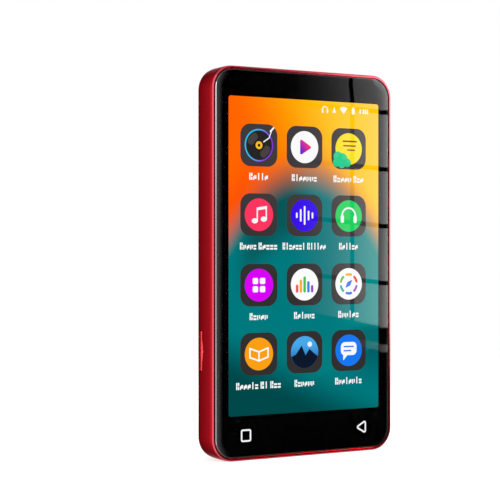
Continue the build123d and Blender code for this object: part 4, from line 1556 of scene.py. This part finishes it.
@dataclass
class Studio:
    """Camera, floor and light.

    Attributes:
        yaw: how far the camera stands to the player's left, in degrees.
        lens: focal length for a 36 mm sensor.
        eye: the camera's place.
        walls: brightness round the horizon, as pairs of angle and level.
        top_level: the largest of these levels that the ramp can hold.
        strip_turn: where the narrow lamp stands, in degrees to the left of straight ahead.
        strip_edge: half angles of the narrow lamp, dark and lit, in radians.
        strip_power: brightness of its lower part, and what is added above.
        strip_rise: upward parts of a direction between which it turns brighter.
        strip_end: upward and downward parts between which it ends.
        ceiling: brightness from above.
        ground: brightness from below.
        poles: upward part of a direction between which wall turns into ceiling or ground.
        window: the window that the glass mirrors.
        window_rise: scale of the window's upward slopes.
        window_tall: square of the upward part above which its brightness keeps to the side angle.
        floor_drop: how far the floor lies under the player.
        floor_rings: radii of the floor's rings.
        floor_fade: radii between which the floor turns as bright as the surroundings.
        floor_grey: the floor's own tone near the player.
        floor_glow: the floor's own light near the player.
    """

    yaw: float = 29.311
    lens: float = 100.65
    eye: tuple[float, float, float] = (-208.1, -343.5, 58.52)
    walls: tuple[tuple[float, float], ...] = (
        (-180.0, 0.2), (180.0, 0.2), (-120.0, 0.9), (-80.0, 0.9), (-60.0, 0.0), (-27.0, 0.0),
        (-20.0, 0.12), (-13.0, 0.45), (-5.0, 1.05), (3.0, 1.7), (14.0, 2.5), (28.0, 2.3), (45.0, 1.3),
        (62.0, 1.0), (90.0, 0.9), (112.0, 1.0), (133.0, 1.05), (150.0, 0.42), (163.0, 0.14),
    )
    top_level: float = 3.0
    strip_turn: float = 47.0
    strip_edge: tuple[float, float] = (0.10, 0.06)
    strip_power: tuple[float, float] = (9.0, 12.0)
    strip_rise: tuple[float, float] = (0.0, 0.13)
    strip_end: tuple[float, float] = (0.5, 0.4)
    ceiling: float = 0.6
    ground: float = 0.65
    poles: tuple[float, float] = (0.72, 0.86)
    window: Window = Window()
    window_rise: float = 1.2169
    window_tall: float = 0.0161
    floor_drop: float = 0.02
    floor_rings: tuple[float, ...] = (40.0, 160.0, 600.0, 3000.0, 12000.0)
    floor_fade: tuple[float, float] = (110.0, 420.0)
    floor_grey: float = 0.5
    floor_glow: float = 0.62

    def camera(self) -> None:
        """Level camera that looks along (sin yaw, cos yaw, 0)."""
        data = bpy.data.cameras.new("camera")
        data.lens = self.lens
        data.sensor_width = 36.0
        data.clip_start, data.clip_end = 0.01, 50.0
        camera = bpy.data.objects.new("camera", data)
        camera.location = tuple(v * MM for v in self.eye)
        camera.rotation_euler = (math.radians(90.0), 0.0, -math.radians(self.yaw))
        bpy.context.scene.collection.objects.link(camera)
        bpy.context.scene.camera = camera

    def floor(self) -> None:
        """Pale round floor whose far part is as bright as the surroundings, so that no horizon shows."""
        n = 96
        radii = np.array(self.floor_rings)
        flat = (radii[:, None, None] * around(np.arange(n) * 2 * math.pi / n)).reshape(-1, 2)
        points = np.column_stack([flat, np.full(len(flat), -self.floor_drop)])
        i, j = np.arange(len(radii) - 1)[:, None], np.arange(n)
        k = (j + 1) % n
        quads = np.stack([i * n + j, (i + 1) * n + j, (i + 1) * n + k, i * n + k], axis=-1).reshape(-1, 4)
        floor = build("floor", points, [list(range(n))] + quads.tolist())
        material, graph, shader = new_shader("pale_floor")
        x, y, _ = graph.place()
        far = graph.smooth(graph.length(x, y), *self.floor_fade)
        grey, glow = (self.floor_grey,) * 3, (self.floor_glow,) * 3
        shader.inputs["Roughness"].default_value = 0.9
        shader.inputs["Specular IOR Level"].default_value = 0.0
        shader.inputs["Emission Strength"].default_value = 1.0
        graph.join(graph.mix(far, grey, (0.0, 0.0, 0.0)), shader.inputs["Base Color"])
        graph.join(graph.mix(far, glow, (1.0, 1.0, 1.0)), shader.inputs["Emission Color"])
        floor.data.materials.append(material)
        floor.visible_glossy = False
        floor.visible_transmission = False

    def world(self) -> None:
        """Surroundings: a plain room, a narrow lamp and a window; the camera itself sees white behind."""
        world = bpy.data.worlds.new("studio")
        bpy.context.scene.world = world
        world.use_nodes = True
        graph = Graph(world.node_tree)
        where = graph.node("ShaderNodeTexCoord")
        apart = graph.node("ShaderNodeSeparateXYZ")
        graph.join(where.outputs["Generated"], apart.inputs[0])
        dx, dy, dz = apart.outputs
        # round the horizon: 0 in front, a quarter turn to the player's left, half a turn behind
        turn = graph.math("ARCTAN2", graph.mul(dx, -1.0), graph.mul(dy, -1.0))
        lit = graph.add(graph.add(self.room(graph, turn, dz), self.strip(graph, turn, dz)),
                        self.opening(graph, dx, dy, dz))
        path = graph.node("ShaderNodeLightPath")
        seen = graph.mix(path.outputs["Is Camera Ray"], lit, (1.0, 1.0, 1.0))
        light = graph.node("ShaderNodeBackground")
        graph.join(seen, light.inputs[0])
        graph.join(light.outputs[0], graph.node("ShaderNodeOutputWorld").inputs[0])

    def room(self, graph: Graph, turn: Term, dz: Term) -> bpy.types.NodeSocket:
        """Walls whose brightness changes round the horizon, with an even ceiling and ground.

        Args:
            graph: the world's graph.
            turn: side angle of a direction, in radians.
            dz: its upward part.

        Returns:
            The room's brightness in that direction.
        """
        ramp = graph.node("ShaderNodeValToRGB")
        ramp.color_ramp.interpolation = "EASE"
        stops = ramp.color_ramp.elements
        for place, (angle, level) in enumerate(self.walls):
            stop = stops[place] if place < 2 else stops.new(1.0)
            stop.position = angle / 360.0 + 0.5
            stop.color = (*([level / self.top_level] * 3), 1.0)
        graph.join(graph.add(graph.mul(turn, 0.5 / math.pi), 0.5), ramp.inputs[0])
        wall = graph.mul(ramp.outputs[0], self.top_level)
        low, high = self.poles
        up, down = graph.smooth(dz, low, high), graph.smooth(dz, -low, -high)
        plain = graph.math("SUBTRACT", 1.0, graph.add(up, down))
        ends = graph.add(graph.mul(up, self.ceiling), graph.mul(down, self.ground))
        return graph.add(graph.mul(wall, plain), ends)

    def strip(self, graph: Graph, turn: Term, dz: Term) -> bpy.types.NodeSocket:
        """Tall narrow lamp to the front left, stronger above, which only the bevel of the glass mirrors.

        Args:
            graph: the world's graph.
            turn: side angle of a direction, in radians.
            dz: its upward part.

        Returns:
            The lamp's brightness in that direction.
        """
        aside = graph.size(graph.add(turn, -math.radians(self.strip_turn)))
        low, more = self.strip_power
        power = graph.add(graph.mul(graph.smooth(dz, *self.strip_rise), more), low)
        power = graph.mul(graph.smooth(aside, *self.strip_edge), power)
        return graph.mul(power, graph.smooth(graph.size(dz), *self.strip_end))

    def opening(self, graph: Graph, dx: Term, dy: Term, dz: Term) -> bpy.types.NodeSocket:
        """The window's brightness in a direction; above its own height it keeps to the same side angle.

        Args:
            graph: the world's graph.
            dx: sideways part of a direction, to the right.
            dy: its part to the back.
            dz: its upward part.

        Returns:
            The window's brightness in that direction, nothing to the back.
        """
        ahead = graph.math("MAXIMUM", graph.mul(dy, -1.0), 0.02)
        tall = graph.math("MAXIMUM", graph.add(graph.mul(dz, dz), -self.window_tall), 0.0)
        ahead = graph.math("SQRT", graph.add(graph.mul(ahead, ahead), tall))
        u = graph.math("DIVIDE", dx, ahead)
        v = graph.math("DIVIDE", graph.mul(dz, self.window_rise), graph.length(dx, dy))
        return graph.mul(self.window.light(graph, u, v), graph.smooth(dy, 0.0, -0.08))

    def lamps(self) -> None:
        """Two soft area lamps, above and to the left."""
        for name, place, size, power in (
            ("lamp_above", (-150.0, -250.0, 700.0), 500.0, 1.6),
            ("lamp_left", (-600.0, 50.0, 260.0), 350.0, 1.0),
        ):
            data = bpy.data.lights.new(name, "AREA")
            data.size = size * MM
            data.energy = power
            lamp = bpy.data.objects.new(name, data)
            lamp.location = tuple(v * MM for v in place)
            aim = np.array([0.0, 0.0, 55.0]) - np.array(place)
            yaw, pitch = math.atan2(aim[1], aim[0]), math.atan2(math.hypot(aim[0], aim[1]), -aim[2])
            lamp.rotation_euler = (pitch, 0.0, yaw - math.pi / 2)
            lamp.visible_camera = False
            lamp.visible_glossy = False
            bpy.context.scene.collection.objects.link(lamp)

    def make(self) -> None:
        """Set everything up."""
        self.camera()
        self.floor()
        self.world()
        self.lamps()
        view = bpy.context.scene.view_settings
        view.view_transform = "Standard"
        view.look = "None"


def main() -> None:
    """Build the studio and the player."""
    logging.basicConfig(level=logging.INFO)
    Studio().make()
    Case().dress_nodes()
    CardPull().make()
    CoverGlass().make()
    screen = Screen()
    screen.sheet()
    icons = Icons(screen)
    icons.make()
    Captions(icons).make()
    StatusMarks(screen).make()
    screen.key_marks()
    bpy.context.view_layer.update()


if __name__ == "__main__":
    main()
